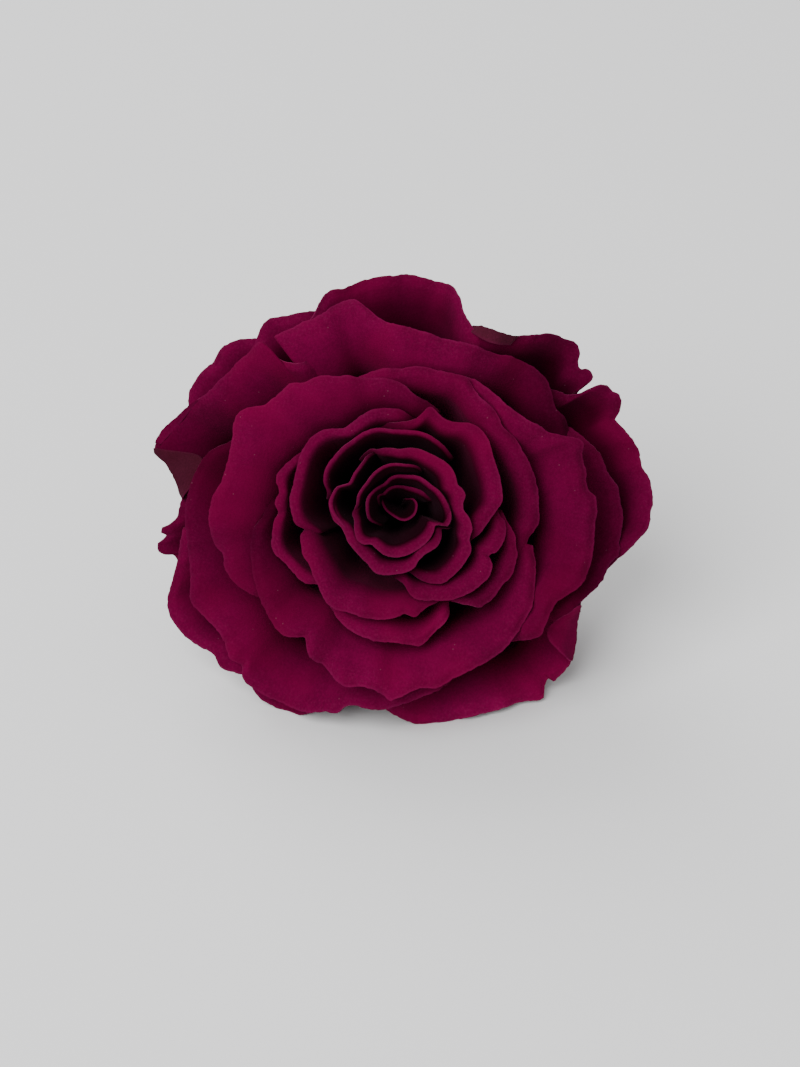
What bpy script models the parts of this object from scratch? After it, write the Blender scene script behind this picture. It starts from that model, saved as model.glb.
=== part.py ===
"""A preserved rose head with no stem, lying on its lower petals and on the cut stub behind it.

Metres, +Z up. The origin lies on the surface, under the middle of the rose. The rose's own frame has its
axis W along the open face, its V axis up the face and its U axis to the right: sizes in it are millimetres.
Each petal is a blade cut from one family of nested bowls: it goes from its root in the core up the bowl's
wall, bends out over its lip and ends at its rim. The rim gives the angle and radius at which the blade ends,
seen along the axis. The wall stands a lip's width inside the rim, clear of the walls of the petals inside it.
"""

import math

import bmesh
import bpy
import numpy as np

MM = 0.001

# How the rose lies
AXIS_RISE = math.radians(35)
MIDDLE_SHIFT = -16.15
SIDE_SHIFT = 0.4
LEAST_SHAVE = 0.1

# The view that the rims were read in: nearer points look larger
VIEW_DISTANCE = 330
MEAN_HEIGHT = 27

# Petals
BLADE = 0.62
COLUMN_STEP = 4.4
FEWEST_COLUMNS = 6
MOST_COLUMNS = 16
BOWL_ROWS = (0, 0.5)
LIP_ROWS = (0, 0.3, 0.65, 1)
LEAST_LIP = 0.3
END_DROP = 2.0
ROOT_HEIGHTS = (12.5, 3.0)
ROOT_SHARE = 0.5
DEEPEST_ROOT = 7.5
ROOT_NARROWING = 0.65
NARROWING_WALLS = (12, 16)
FULLNESS = 0.55

# The nested bowls, by the radius of their wall: the height of the lip, and how many degrees further it falls
# back at the top of the face than at its sides
WALLS = (0.3, 1.5, 3, 4, 5, 7, 9, 11, 13, 15, 17, 19, 21, 23, 24.5)
LIPS = (34.5, 36, 38.6, 40.8, 41.6, 41.4, 40.9, 40.1, 38.9, 37.2, 34.9, 31.8, 28, 24, 21.5)
TILTS = (0, 0, 2, 3, 4, 8, 10, 12, 12, 12, 12, 10, 6, 3, 0)
LEAN = math.radians(14)

# How widely a lip bends out of its wall, as a share of its width: more at the heart than outside it
BEND_WALLS = (5, 13)
BEND_SHARES = (1.5, 0.85)
MOST_BEND = 6.5

# How petals nest: the least way from one wall to the next, and the degrees over which a wall is smoothed
NEST_GAP = 0.5
NEST_SMOOTHING = 11
WALL_SMOOTHING = 5

# The core that the petals grow from, as (radius, height) down its side
CORE = ((0, 16.5), (4.5, 15.5), (8, 12), (9.5, 7), (8, 2.5), (5.4, 0), (0, 0))
CORE_SIDES = 14

# Each petal, from the bud outwards: the widths of its lip at its first side, middle and last side, the
# degrees that its lip falls back (less than zero where it stands up as a cup), and its rim as (degrees,
# millimetres)
PETALS = {
    "bud": ((0.3, 0.35, 0.3), 0, (
        (160, 3.1), (190, 2.6), (230, 2.1), (280, 2.3), (310, 2.2), (340, 2.0), (380, 1.6), (410, 0.8),
        (440, 0.5))),
    "bud_wrap": ((0.3, 0.4, 0.35), 0, (
        (5, 4.3), (20, 3.5), (40, 2.8), (60, 2.4), (90, 2.3), (110, 2.5), (140, 2.8), (170, 3.0),
        (185, 3.0))),
    "upper_arc": ((0.9, 0.45, 0.4), 0, (
        (-30, 6.4), (-24, 6.8), (-14, 6.5), (-2, 5.9), (16, 5.1), (34, 4.4), (57, 4.1), (87, 3.7),
        (111, 3.8), (134, 3.6), (152, 4.1), (170, 4.7), (190, 4.9), (206, 5.0), (218, 4.4), (228, 4.0))),
    "lower_arc": ((0.7, 1.4, 0.6), 4, (
        (178, 5.6), (184, 6.1), (191, 6.8), (200, 6.8), (210, 7.3), (220, 7.7), (227, 7.4), (232, 6.8),
        (239, 6.9), (250, 7.2), (261, 7.2), (272, 6.9), (284, 6.5), (298, 6.1), (311, 5.7), (326, 5.1),
        (341, 4.7), (358, 4.6), (368, 4.1), (376, 3.8))),
    "left_arc": ((0.35, 0.4, 0.4), 0, (
        (60, 5.0), (68, 5.2), (83, 5.1), (95, 5.2), (109, 5.4), (137, 5.5), (150, 5.5), (160, 5.7),
        (169, 6.0), (184, 6.1), (196, 6.3))),
    "heart_lower": ((0.6, 1.8, 0.8), 4, (
        (165, 8.6), (173, 9.2), (177, 9.7), (183, 9.7), (189, 9.5), (195, 9.3), (199, 8.8), (204, 8.6),
        (216, 8.8), (227, 8.9), (240, 9.2), (248, 9.8), (253, 9.8), (265, 9.3), (276, 8.9), (280, 8.6),
        (285, 7.8), (293, 7.3), (310, 7.2), (319, 6.7), (326, 6.0), (334, 5.6))),
    "heart_left": ((0.4, 0.45, 0.5), 2, (
        (118, 7.7), (126, 7.8), (137, 7.5), (150, 7.5), (172, 7.5), (182, 7.7), (202, 7.8), (219, 8.4),
        (228, 8.3))),
    "heart_right": ((1.6, 1.9, 0.6), 4, (
        (-92, 8.6), (-85, 9.1), (-76, 10.5), (-64, 11.7), (-53, 11.5), (-40, 11.1), (-35, 10.9),
        (-29, 9.9), (-21, 9.7), (-12, 8.8), (-6, 7.9), (-1, 7.8), (7, 8.2), (13, 8.0), (19, 7.5),
        (25, 7.7), (34, 7.8), (44, 7.7), (56, 7.4), (80, 7.3), (95, 7.1), (104, 7.4), (113, 7.7),
        (125, 7.8), (135, 7.7))),
    "inner_top": ((0.6, 0.6, 0.6), 6, (
        (42, 8.9), (50, 9.1), (58, 9.3), (66, 9.5), (75, 9.6), (90, 9.5), (102, 9.9),
        (109, 10.4), (116, 10.6), (130, 10.6), (138, 10.8), (145, 10.9), (156, 11.1), (162, 11),
        (167, 10.6), (170, 9.9), (173, 9.2), (177, 8.4))),
    "ring_right": ((2.4, 2.8, 1.2), 6, (
        (-36, 9.8), (-27, 10.3), (-21, 10.9), (-16, 11.2), (-10, 11.6), (-5, 12.2), (0, 12.9),
        (9, 13.1), (24, 13.2), (29, 13.4), (36, 13.9), (49, 13.8), (53, 13.2), (56, 12.7), (60, 12.4),
        (65, 12.3), (70, 12.8), (74, 13.2), (78, 12), (82, 11), (87, 10.7), (95, 10.6), (103, 10.7),
        (110, 10.9))),
    "ring_left": ((2.4, 1.6, 1.4), 6, (
        (80, 11.0), (86, 11.6), (90, 12.1), (94, 12.4), (100, 12.6), (108, 12.9), (115, 12.7),
        (122, 12.5), (128, 12.4), (131, 12.9), (134, 13.6), (139, 14.4), (144, 14.9), (149, 15.0),
        (160, 14.8), (169, 14.6), (180, 14.9), (187, 14.6), (191, 14.4), (194, 13.6), (196, 13.0),
        (200, 12.2))),
    "ring_lower_right": ((2.2, 3.2, 1.6), 10, (
        (262, 9.8), (270, 10.5), (274, 11.9), (277, 12.6), (281, 13.0), (287, 13.3), (293, 13.9),
        (299, 14.3), (305, 14.6), (313, 14.8), (320, 14.8), (325, 14.3), (327, 13.7), (328.5, 13.0),
        (330, 13.2), (332, 13.8), (335, 14.0), (347, 13.9), (350, 13.6), (352, 13.0), (358, 12.2))),
    "ring_lower_left": ((2.2, 4.2, 2.4), 10, (
        (188, 12.3), (195, 13.2), (197, 13.9), (203, 14.5), (208, 14.8), (214, 14.7), (219, 15.2),
        (224, 15.5), (229, 16.1), (234, 16.5), (238, 16.5), (242, 16.1), (253, 15.8), (263, 15.3),
        (268, 14.8), (270, 14.5), (276, 15.0), (280, 14.4), (284, 13.9), (288, 13.8), (296, 13.2))),
    "step_right": ((1.6, 2.4, 1.2), 6, (
        (288, 13.4), (295, 14.1), (301, 15.4), (304, 16.2), (306, 16.8), (310, 17.1), (322, 16.9),
        (326, 17.1), (331, 16.8), (336, 16.4), (340, 15.8), (345, 15.1), (348, 14.4), (350, 13.9),
        (356, 13.0))),
    "step_lower": ((2.6, 3.8, 1.8), 12, (
        (228, 15.6), (235, 16.6), (243, 17.7), (251, 18.2), (259, 18.4), (267, 18.3), (272, 18.5),
        (275.5, 18.8), (278, 18.7), (280, 18.2), (283, 17.6), (287, 16.9), (290, 16.5), (293, 15.6),
        (294, 14.8), (295, 14.0))),
    "step_left": ((1.2, 1.4, 1.4), 6, (
        (152, 14.8), (159, 15.9), (163, 16.5), (167, 17.0), (170.5, 16.9), (175, 16.2), (177, 16.6),
        (182, 16.6), (184.5, 16.3), (187, 17.0), (191, 17.4), (198, 18.1), (201, 18.1), (204, 17.7),
        (208, 17.2), (213, 17.0), (220, 16.4), (222, 15.8), (228, 14.8))),
    "broad_lower": ((4.0, 8.5, 4.0), 12, (
        (178, 17.4), (185, 18.4), (189, 19.7), (193, 20.4), (200, 21.2), (206, 21.8), (214, 22.6),
        (219, 23.0), (228, 23.3), (231, 22.6), (234, 21.8), (236, 22.6), (239, 23.6), (243, 23.6),
        (249, 24.7), (252, 25.2), (257, 24.6), (264, 25.2), (266, 25.9), (268, 25.6), (272, 24.8),
        (275, 24.3), (280, 24.6), (286, 23.9), (295, 23.5), (305, 23.3), (310, 22.8), (319, 21.9),
        (323, 21.4), (328, 20.5), (337, 19.0), (342, 18.0))),
    "broad_upper_left": ((3.0, 10.5, 8.0), 8, (
        (68, 12.9), (75, 13.5), (85, 14.5), (90, 15.6), (95, 16.2), (101, 16.7), (107, 17.1), (110, 17.5),
        (113, 18.2), (118, 18.8), (121, 19.6), (124, 20.1), (130, 20.7), (133, 21.7), (141, 21.9),
        (144, 22.2), (147, 23.4), (151, 24.6), (156, 24.6), (159, 24.1), (165, 23.7), (169, 23.8),
        (173, 24.1), (179, 25.2), (187, 25.5), (193, 25.2), (196, 24.6), (199, 24.9), (202, 24.8),
        (208, 23.9), (216, 21.5), (222, 19.5))),
    "upper_ring": ((2.4, 3.2, 3.4), 8, (
        (-30, 16.0), (-21, 17.0), (-14, 17.3), (-9, 18.0), (0, 17.8), (8, 17.8), (19, 17.4), (24, 17.1),
        (29, 17.2), (34, 16.9), (37, 16.5), (42, 17.0), (46, 17.2), (51, 17.1), (56, 17.4), (59, 18.0),
        (64, 18.7), (68, 18.4), (74, 18.1), (83, 18.2), (90, 17.8), (105, 17.9), (110, 17.8),
        (118, 17.2))),
    "broad_right": ((7.0, 8.5, 4.5), 10, (
        (-58, 20.5), (-50, 23.5), (-43, 25.0), (-40, 24.5), (-32, 24.1), (-28, 25.0), (-25, 25.6),
        (-20, 26.0), (-15, 25.8), (-7, 25.4), (0, 25.4), (2.4, 25.2), (3.6, 24.7), (10, 24.5), (15, 24.5),
        (19, 24.9), (20.5, 24.4), (22, 23.4), (24, 22.3), (26, 21.3), (29, 20.7), (33, 19.8), (37, 19.2),
        (42, 18.8), (54, 18.7), (62, 18.7), (70, 18.0))),
    "outer_top": ((4.0, 7.0, 11.0), 8, (
        (16, 22.5), (20, 23.6), (24, 24.1), (27, 24.3), (32, 23.7), (37, 24.4), (40, 24.9), (46, 24.9),
        (53, 24.1), (58, 23.3), (66, 22.7), (77, 22.4), (86, 23.0), (94, 23.8), (97, 24.6), (99.6, 25.8),
        (102, 27.1), (104, 27.9), (107, 28.1), (110, 27.6), (112, 27.2), (120, 27.5), (127.7, 28.1))),
    "outer_left": ((7.0, 9.0, 7.0), 0, (
        (150, 21.5), (156, 23.0), (160.5, 24.3), (164.5, 26.2), (168, 27.0), (177, 28.2), (183, 28.6),
        (188, 28.6), (194, 28.9), (199, 29.4), (205, 30.5), (210, 29.8), (214, 29.4), (217, 29.4),
        (222, 30.3), (225, 29.8), (227, 30.8), (233, 30.9), (239, 30.4), (244.5, 30.1), (250, 28.9),
        (252.5, 28.6), (254, 27.6), (256, 27.1), (261, 27.2), (265, 26.9), (270, 26.2), (277, 25.2),
        (280, 24.9), (288, 23.5))),
    "outer_upper_left": ((8.0, 9.0, 8.0), 4, (
        (118, 22.6), (127, 23), (130, 24.4), (130.8, 25.6), (130.9, 26.9), (131, 28.2), (135, 28.6),
        (145, 28.9), (152, 29.6), (154, 30.9), (158, 31.6), (162, 32.7), (167, 33.4), (168, 33.2),
        (170, 31.7), (173, 30.3), (178, 29.1), (183, 27))),
    "outer_right": ((6.0, 7.0, 5.5), -22, (
        (-38, 25.0), (-29, 26.5), (-23, 27.3), (-15, 28.2), (-13, 28.8), (-10, 28.6), (-3.5, 28.6),
        (2, 28.1), (5, 27.9), (9, 26.9), (14.5, 26.3), (19, 25.5), (23, 24.4), (30, 22.5))),
    "outer_bottom": ((6.5, 7.5, 6.0), 8, (
        (256, 24.5), (262, 26.2), (268, 27.7), (273, 28.8), (275.2, 29.3), (280, 29.2), (287, 29.2),
        (294, 29.6), (300, 30.1), (303, 30.7), (306, 31.3), (306.8, 30.9), (308.2, 30.1), (309.9, 29.8),
        (310.6, 30.6), (311.8, 30.5), (314.5, 30.4), (318, 29.9), (322.6, 28.6), (326.6, 27.5),
        (331, 26.7), (336, 25.5))),
    "guard_top": ((6.5, 8.0, 7.0), -30, (
        (62, 23.5), (68, 24.6), (72, 26.0), (75, 28.0), (77, 28.9), (80, 29.0), (87, 29.7), (95, 29.7),
        (99, 29.4), (105, 29.1), (108, 29.3), (112, 28.4), (114, 27.7), (120, 26.0))),
    "guard_top_left": ((7.0, 8.0, 7.0), -12, (
        (104, 26.0), (114, 27.7), (118, 28.4), (122, 29.0), (127, 29.9), (131, 29.0), (136, 27.5))),
    "guard_right": ((8.0, 9.0, 7.5), -30, (
        (-26, 26.5), (-14, 28.8), (-9.4, 30.5), (-6, 31.5), (-1.4, 32.1), (1.5, 32.3), (5, 32.1),
        (10, 31.2), (15, 30.9), (19, 30.2), (22, 29.7), (23, 30.4), (25, 31.2), (27, 31.4),
        (28.3, 30.7), (29.6, 30.5), (31, 29.9), (31.6, 28.8), (31.9, 27.4), (33.5, 25.8), (38, 24.6))),
    "guard_upper_left": ((7.5, 8.5, 7.5), -10, (
        (124, 26.8), (131, 28.8), (135, 30.4), (140, 31.3), (142, 31.0), (147, 31.5), (152, 31.5),
        (158, 30.0), (164, 28.0))),
    "guard_upper_right": ((7.0, 8.0, 6.0), -36, (
        (28, 25.5), (32.2, 26.4), (33, 27.6), (33.1, 28.8), (33.6, 29.6), (34.8, 29.7), (36.4, 29.4),
        (37.5, 28.7), (38.8, 29), (40.9, 30), (43.3, 30.3), (45.8, 29.8), (48.9, 29.2), (52, 27.8),
        (54, 26.8), (56, 26.1), (61, 25.5), (69, 24.6), (76, 23.8))),
    "guard_lower_left": ((8.0, 9.0, 8.0), -8, (
        (186, 29.0), (195, 30.6), (199, 32.0), (203, 33.4), (205, 33.6), (210, 33.4), (214, 32.6),
        (218, 31.6), (222, 31.8), (225, 31.0), (230, 29.5), (236, 28.0))),
    "guard_left": ((7.5, 8.0, 7.5), -10, (
        (172, 27.5), (179, 29), (183.4, 29.6), (184.9, 30.6), (185.7, 31.6), (186.5, 31.8),
        (187.4, 31.1), (188.1, 31.5), (189.3, 32.4), (190.8, 32.4), (191.8, 31.7), (192.4, 30.6),
        (194.8, 30.2), (198, 29.2))),
    "guard_bottom": ((7.5, 8.0, 6.5), -4, (
        (226, 29.0), (232, 31.3), (238, 31.3), (244, 30.6), (246, 29.8), (249, 28.0), (252, 26.5))),
    "guard_lower_right": ((4.0, 4.0, 4.0), -10, (
        (298, 24.0), (306, 25.0), (318, 25.6), (330, 25.8), (342, 26.2), (350, 25.6), (356, 24.5))),
}

# Tips that fold over to the front: the petal, the angles its rim folds between, the lift of the free edge,
# and that edge as (degrees, millimetres)
FOLDED_TIPS = {
    "left_tip": ("outer_upper_left", (167, 178.8), 1.2, (
        (167.1, 33.0), (168, 26.6), (173.5, 27.2), (178.5, 28.8))),
    "left_roll": ("outer_upper_left", (153, 166.3), 0.6, (
        (152.4, 29.8), (155.9, 30.3), (159.7, 30.9), (163, 31.7), (166.2, 32.6))),
    "right_tip": ("outer_bottom", (317, 331), 4.0, (
        (316.8, 29.4), (316.8, 27.2), (317.4, 25.4), (319.5, 24.6), (322.5, 24.7), (326, 25.3),
        (330.5, 26.4))),
    "top_tip": ("guard_upper_right", (55, 69), 0.8, (
        (56, 25.0), (59, 24.2), (64, 23.8), (68.5, 24.1))),
}
TIP_COLUMNS = 4
TIP_ROWS = 2
RIM_STATIONS = 200

# The hip below the petals and the stub of the stem, as (radius, height)
GAP = 0.3
HIP_RADIUS = 6.2
HIP_LENGTH = 8
STUB_RADIUS = 2.7
STUB_LENGTH = 3.7
STUB_SIDES = 16
HIP = (
    (0, -GAP), (5.2, -GAP), (HIP_RADIUS, -2.2), (5.8, -4.8), (4.0, -7), (3.2, -HIP_LENGTH), (0, -HIP_LENGTH))
STUB_END = -(HIP_LENGTH + GAP + STUB_LENGTH)

# Sepals: the angle each points at and how far it reaches out, with the blade's widest half width
SEPALS = ((46, 20), (118, 21), (190, 20), (263, 27.5), (334, 19))
SEPAL_HALF_WIDTH = 2.7
SEPAL_BLADE = 0.7
SEPAL_ROOT = (3.6, -2.4)
SEPAL_BOWL = (24.5, 12)
SEPAL_TIP_RISE = 3
SEPAL_ROOT_WIDTH = 0.25
SEPAL_SWELL = 0.39
SEPAL_TIP_WIDTH = 0.2
SEPAL_CUP = 0.5
SEPAL_COLUMNS = 4
SEPAL_ROWS = 9

# The rose's origin stands this high over the surface, so that the stub's lowest edge just meets it
ORIGIN_HEIGHT = STUB_RADIUS * math.cos(AXIS_RISE) - STUB_END * math.sin(AXIS_RISE) - LEAST_SHAVE
SHEET = 200

PETAL_COLOUR = (0.16, 0.003, 0.04, 1)
CALYX_COLOUR = (0.10, 0.085, 0.04, 1)
STUB_COLOUR = (0.16, 0.11, 0.05, 1)


def material(name, colour, roughness):
    made = bpy.data.materials.new(name)
    made.use_nodes = True
    shader = made.node_tree.nodes["Principled BSDF"]
    shader.inputs["Base Color"].default_value = colour
    shader.inputs["Roughness"].default_value = roughness
    shader.inputs["Metallic"].default_value = 0
    return made


def world(u, v, w):
    """Points of the rose's own frame, in millimetres, as metres in the world."""
    rise, lean = math.sin(AXIS_RISE), math.cos(AXIS_RISE)
    back = v * rise - w * lean - MIDDLE_SHIFT
    up = v * lean + w * rise + ORIGIN_HEIGHT
    return np.stack([u + SIDE_SHIFT, back, up], axis=-1) * MM


def around(angle, radius, height):
    """Points given by angle in degrees, radius from the axis and height, in the world."""
    turn = np.radians(angle)
    return world(radius * np.cos(turn), radius * np.sin(turn), height)


def true_radius(seen, height):
    return seen * (1 - (height - MEAN_HEIGHT) / VIEW_DISTANCE)


def below_throat(wall, throat_height, share):
    """Radius and height on the curve from a petal's root, at share 0, to its lip's throat, at share 1."""
    root = np.minimum(ROOT_SHARE * wall, DEEPEST_ROOT)
    root_height = np.interp(wall, (WALLS[0], WALLS[-1]), ROOT_HEIGHTS)
    reach, rise = FULLNESS * (wall - root), FULLNESS * (throat_height - root_height)
    way_out = (root, root + reach, wall - rise * math.sin(LEAN), wall)
    way_up = (root_height, root_height, throat_height - rise * math.cos(LEAN), throat_height)
    parts = ((1 - share) ** 3, 3 * share * (1 - share) ** 2, 3 * share**2 * (1 - share), share**3)
    return tuple(sum(part * point for part, point in zip(parts, line)) for line in (way_out, way_up))


def along_lip(wall, lip, fall, angle, seen, share):
    """Radius and height on a lip from its throat, at share 0, to a rim seen at this radius, at share 1."""
    height = np.interp(wall, WALLS, LIPS)
    bend = np.minimum(np.interp(wall, BEND_WALLS, BEND_SHARES) * lip, MOST_BEND)
    droop = np.radians(fall + np.interp(wall, WALLS, TILTS) * np.sin(np.radians(angle)))
    run = np.maximum(true_radius(seen, height) - wall, LEAST_LIP)
    whole_turn = math.pi / 2 + droop
    whole_run = bend * (math.cos(LEAN) - np.cos(whole_turn))
    turn = np.where(run < whole_run, np.arccos(np.clip(math.cos(LEAN) - run / bend, -1, 1)), whole_turn)
    straight = np.maximum(run - whole_run, 0) / np.cos(droop)
    way = share * (bend * (turn - LEAN) + straight)
    bent = np.minimum(LEAN + way / bend, turn)
    rest = np.maximum(way - bend * (turn - LEAN), 0)
    radius = wall + bend * (math.cos(LEAN) - np.cos(bent)) + rest * np.cos(droop)
    return radius, height - bend * (1 - np.sin(bent)) - rest * np.sin(droop)


def smoothed(values, width):
    """The running mean of the values, with their ends held."""
    ends = [values[0]] * (width // 2), [values[-1]] * (width // 2)
    return np.convolve(np.concatenate([ends[0], values, ends[1]]), np.full(width, 1 / width), "valid")


def nested_walls():
    """Each petal's wall radius, degree by degree: its rim less its lip, clear of the petals inside it."""
    taken = np.zeros(360)
    walls = {}
    for name, (lips, _, rim) in PETALS.items():
        angles = np.arange(rim[0][0], rim[-1][0] + 1).astype(int)
        line = smooth_line(rim, len(angles))
        seen = np.interp(angles, line[:, 0], line[:, 1])
        lip = np.interp(np.linspace(0, 1, len(angles)), (0, 0.5, 1), lips)
        inside = taken[angles % 360] + NEST_GAP
        base = smoothed(true_radius(seen, np.interp(seen - lip, WALLS, LIPS)), NEST_SMOOTHING) - lip
        wall = smoothed(np.maximum(base, inside), NEST_SMOOTHING)
        wall = np.maximum(np.maximum(wall, inside), WALLS[0])
        taken[angles % 360] = wall
        walls[name] = (angles, smoothed(wall, WALL_SMOOTHING))
    return walls


def smooth_line(stations, count):
    """Points evenly spaced by length on a smooth curve through stations of (degrees, millimetres)."""
    points = np.array(stations, float)
    across = np.radians(np.diff(points[:, 0])) * (points[1:, 1] + points[:-1, 1]) / 2
    spans = np.hypot(across, np.diff(points[:, 1]))
    ways = np.concatenate([[0], np.cumsum(spans)])
    slopes = np.gradient(points, ways, axis=0)
    way = np.linspace(0, ways[-1], count)
    i = np.clip(np.searchsorted(ways, way, side="right") - 1, 0, len(spans) - 1)
    span = spans[i][:, None]
    share = (way - ways[i])[:, None] / span
    first = 2 * share**3 - 3 * share**2 + 1
    leaving = (share**3 - 2 * share**2 + share) * span
    arriving = (share**3 - share**2) * span
    return first * points[i] + (1 - first) * points[i + 1] + leaving * slopes[i] + arriving * slopes[i + 1]


def line_length(stations):
    points = np.array(stations, float)
    across = np.radians(np.diff(points[:, 0])) * (points[1:, 1] + points[:-1, 1]) / 2
    return float(np.hypot(across, np.diff(points[:, 1])).sum())


def blade(name, points, thickness):
    """A blade of the given thickness about a grid of points, raised where it would go below the surface."""
    columns, rows = points.shape[:2]
    points[..., 2] = np.maximum(points[..., 2], (thickness / 2 - LEAST_SHAVE) * MM)
    sheet = bmesh.new()
    bmesh.ops.create_grid(sheet, x_segments=rows - 1, y_segments=columns - 1, size=1)
    for vertex, place in zip(sheet.verts, points.reshape(-1, 3)):
        vertex.co = place
    bmesh.ops.triangulate(sheet, faces=sheet.faces[:], quad_method="FIXED")
    mesh = bpy.data.meshes.new(name)
    sheet.to_mesh(mesh)
    sheet.free()
    made = bpy.data.objects.new(name, mesh)
    thicken = made.modifiers.new("Thickness", "SOLIDIFY")
    thicken.thickness = thickness * MM
    thicken.offset = 0
    return made


def over_lip(walls, lips, fall, rim, angle, seen, share):
    """Radius and height at a share of the way over a petal's lip, whose two sides hang a little lower."""
    place = np.clip((angle - rim[0][0]) / (rim[-1][0] - rim[0][0]), 0, 1)
    lip = np.interp(place, (0, 0.5, 1), lips)
    radius, height = along_lip(np.interp(angle, *walls), lip, fall, angle, seen, share)
    return radius, height - END_DROP * (1 - np.sin(math.pi * place)) ** 3


def petal(name, walls, lips, fall, rim):
    """A blade from its root in the core, up its bowl's wall and over its lip to its rim."""
    count = int(np.clip(line_length(rim) / COLUMN_STEP, FEWEST_COLUMNS, MOST_COLUMNS)) + 1
    angle, seen = smooth_line(rim, count).T
    middle_angle = (rim[0][0] + rim[-1][0]) / 2
    narrowing = np.interp(walls[1].mean(), NARROWING_WALLS, (1, ROOT_NARROWING))
    throat, throat_height = over_lip(walls, lips, fall, rim, angle, seen, 0)
    rows = []
    for share in BOWL_ROWS:
        radius, height = below_throat(throat, throat_height, share)
        spread = narrowing + (1 - narrowing) * share
        rows.append(around(middle_angle + (angle - middle_angle) * spread, radius, height))
    for share in LIP_ROWS:
        rows.append(around(angle, *over_lip(walls, lips, fall, rim, angle, seen, share)))
    return blade(name, np.stack(rows, axis=1), BLADE)


def folded_tip(name, walls, petal_name, fold, lift, free):
    """A tip bent over to the front, from the fold on its petal's rim to its free edge."""
    rim = PETALS[petal_name][-1]
    line = smooth_line(rim, RIM_STATIONS)
    angle = np.linspace(*fold, TIP_COLUMNS + 1)
    seen = np.interp(angle, line[:, 0], line[:, 1])
    start_radius, height = over_lip(walls[petal_name], *PETALS[petal_name], angle, seen, 1)
    end_angle, end_seen = smooth_line(free, TIP_COLUMNS + 1).T
    rows = []
    for share in np.linspace(0, 1, TIP_ROWS + 1):
        radius = start_radius + (true_radius(end_seen, height) - start_radius) * share
        turn = angle + (end_angle - angle) * share
        rows.append(around(turn, radius, height + lift * math.sin(share * math.pi / 2)))
    return blade(name, np.stack(rows, axis=1), BLADE)


def turned(name, outline, sides):
    """A solid turned about the rose's axis from (radius, height) points, top to bottom."""
    mesh = bpy.data.meshes.new(name)
    corners = [(radius * MM, 0, height * MM) for radius, height in outline]
    mesh.from_pydata(corners, [(i, i + 1) for i in range(len(corners) - 1)], [])
    made = bpy.data.objects.new(name, mesh)
    screw = made.modifiers.new("Turned", "SCREW")
    screw.steps = screw.render_steps = sides
    screw.use_merge_vertices = True
    screw.merge_threshold = 0.00001
    made.location = world(0, 0, 0)
    made.rotation_euler = (math.pi / 2 - AXIS_RISE, 0, 0)
    return made


def sepal(name, angle, reach):
    """A narrow leaf from the hip, curved outside the petals, and pressed on the surface below them."""
    root_radius, root_height = SEPAL_ROOT
    bowl_radius, bowl_height = SEPAL_BOWL
    side = np.linspace(-1, 1, SEPAL_COLUMNS + 1)[:, None]
    share = np.linspace(0, 1, SEPAL_ROWS + 1)[None, :]
    radius = root_radius + (reach - root_radius) * share
    turn = np.arcsin(np.minimum((radius - root_radius) / (bowl_radius - root_radius), 1))
    height = bowl_height - (bowl_height - root_height) * np.cos(turn)
    height = height + np.maximum(radius - bowl_radius, 0) * SEPAL_TIP_RISE
    swell = (SEPAL_ROOT_WIDTH * (1 - share) + share * (1 - share)) / SEPAL_SWELL
    half_width = SEPAL_HALF_WIDTH * np.maximum(swell, SEPAL_TIP_WIDTH)
    points = around(angle + np.degrees(side * half_width / radius), radius, height + SEPAL_CUP * side**2)
    return blade(name, points, SEPAL_BLADE)


def fused(name, first, others, look):
    """One solid joined from all these objects, with sealed hollows filled and loose scraps dropped."""
    repeats = bpy.data.collections.new(name + "_repeats")
    bpy.context.scene.collection.children.link(repeats)
    for other in others:
        repeats.objects.link(other)
    first.name = name
    rose.objects.link(first)
    join = first.modifiers.new("Joined", "BOOLEAN")
    join.operation = "UNION"
    join.solver = "MANIFOLD"
    join.operand_type = "COLLECTION"
    join.collection = repeats
    return settled(first, look, others, repeats)


def settled(made, look, helpers, group):
    """The object with its modifiers applied, cut flat where it meets the surface, its helpers removed."""
    surface = surface_cutter(made.name + "_surface")
    flat = made.modifiers.new("Surface", "BOOLEAN")
    flat.operation = "DIFFERENCE"
    flat.solver = "MANIFOLD"
    flat.object = surface
    bpy.context.view_layer.update()
    graph = bpy.context.evaluated_depsgraph_get()
    evaluated = made.evaluated_get(graph)
    mesh = bpy.data.meshes.new_from_object(evaluated)
    mesh.transform(made.matrix_world)
    made.modifiers.clear()
    made.data = mesh
    made.location = (0, 0, 0)
    made.rotation_euler = (0, 0, 0)
    keep_outer_body(mesh)
    mesh.materials.clear()
    mesh.materials.append(look)
    mesh.shade_flat()
    for helper in [*helpers, surface]:
        bpy.data.objects.remove(helper, do_unlink=True)
    if group:
        bpy.data.collections.remove(group)
    return made


def surface_cutter(name):
    """A block whose top is the surface that the rose lies on."""
    bpy.ops.mesh.primitive_cube_add(size=SHEET * MM, location=(0, 0, -SHEET * MM / 2))
    made = bpy.context.active_object
    made.name = name
    made.hide_render = True
    made.display_type = "WIRE"
    return made


def keep_outer_body(mesh):
    """Keeps the one outer skin: the walls of sealed hollows and loose scraps go."""
    body = bmesh.new()
    body.from_mesh(mesh)
    left = set(body.faces)
    groups = []
    while left:
        group = [left.pop()]
        for face in group:
            for edge in face.edges:
                for neighbour in edge.link_faces:
                    if neighbour in left:
                        left.remove(neighbour)
                        group.append(neighbour)
        groups.append(group)
    groups.sort(key=len)
    for group in groups[:-1]:
        bmesh.ops.delete(body, geom=group, context="FACES")
    body.to_mesh(mesh)
    body.free()


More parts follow.
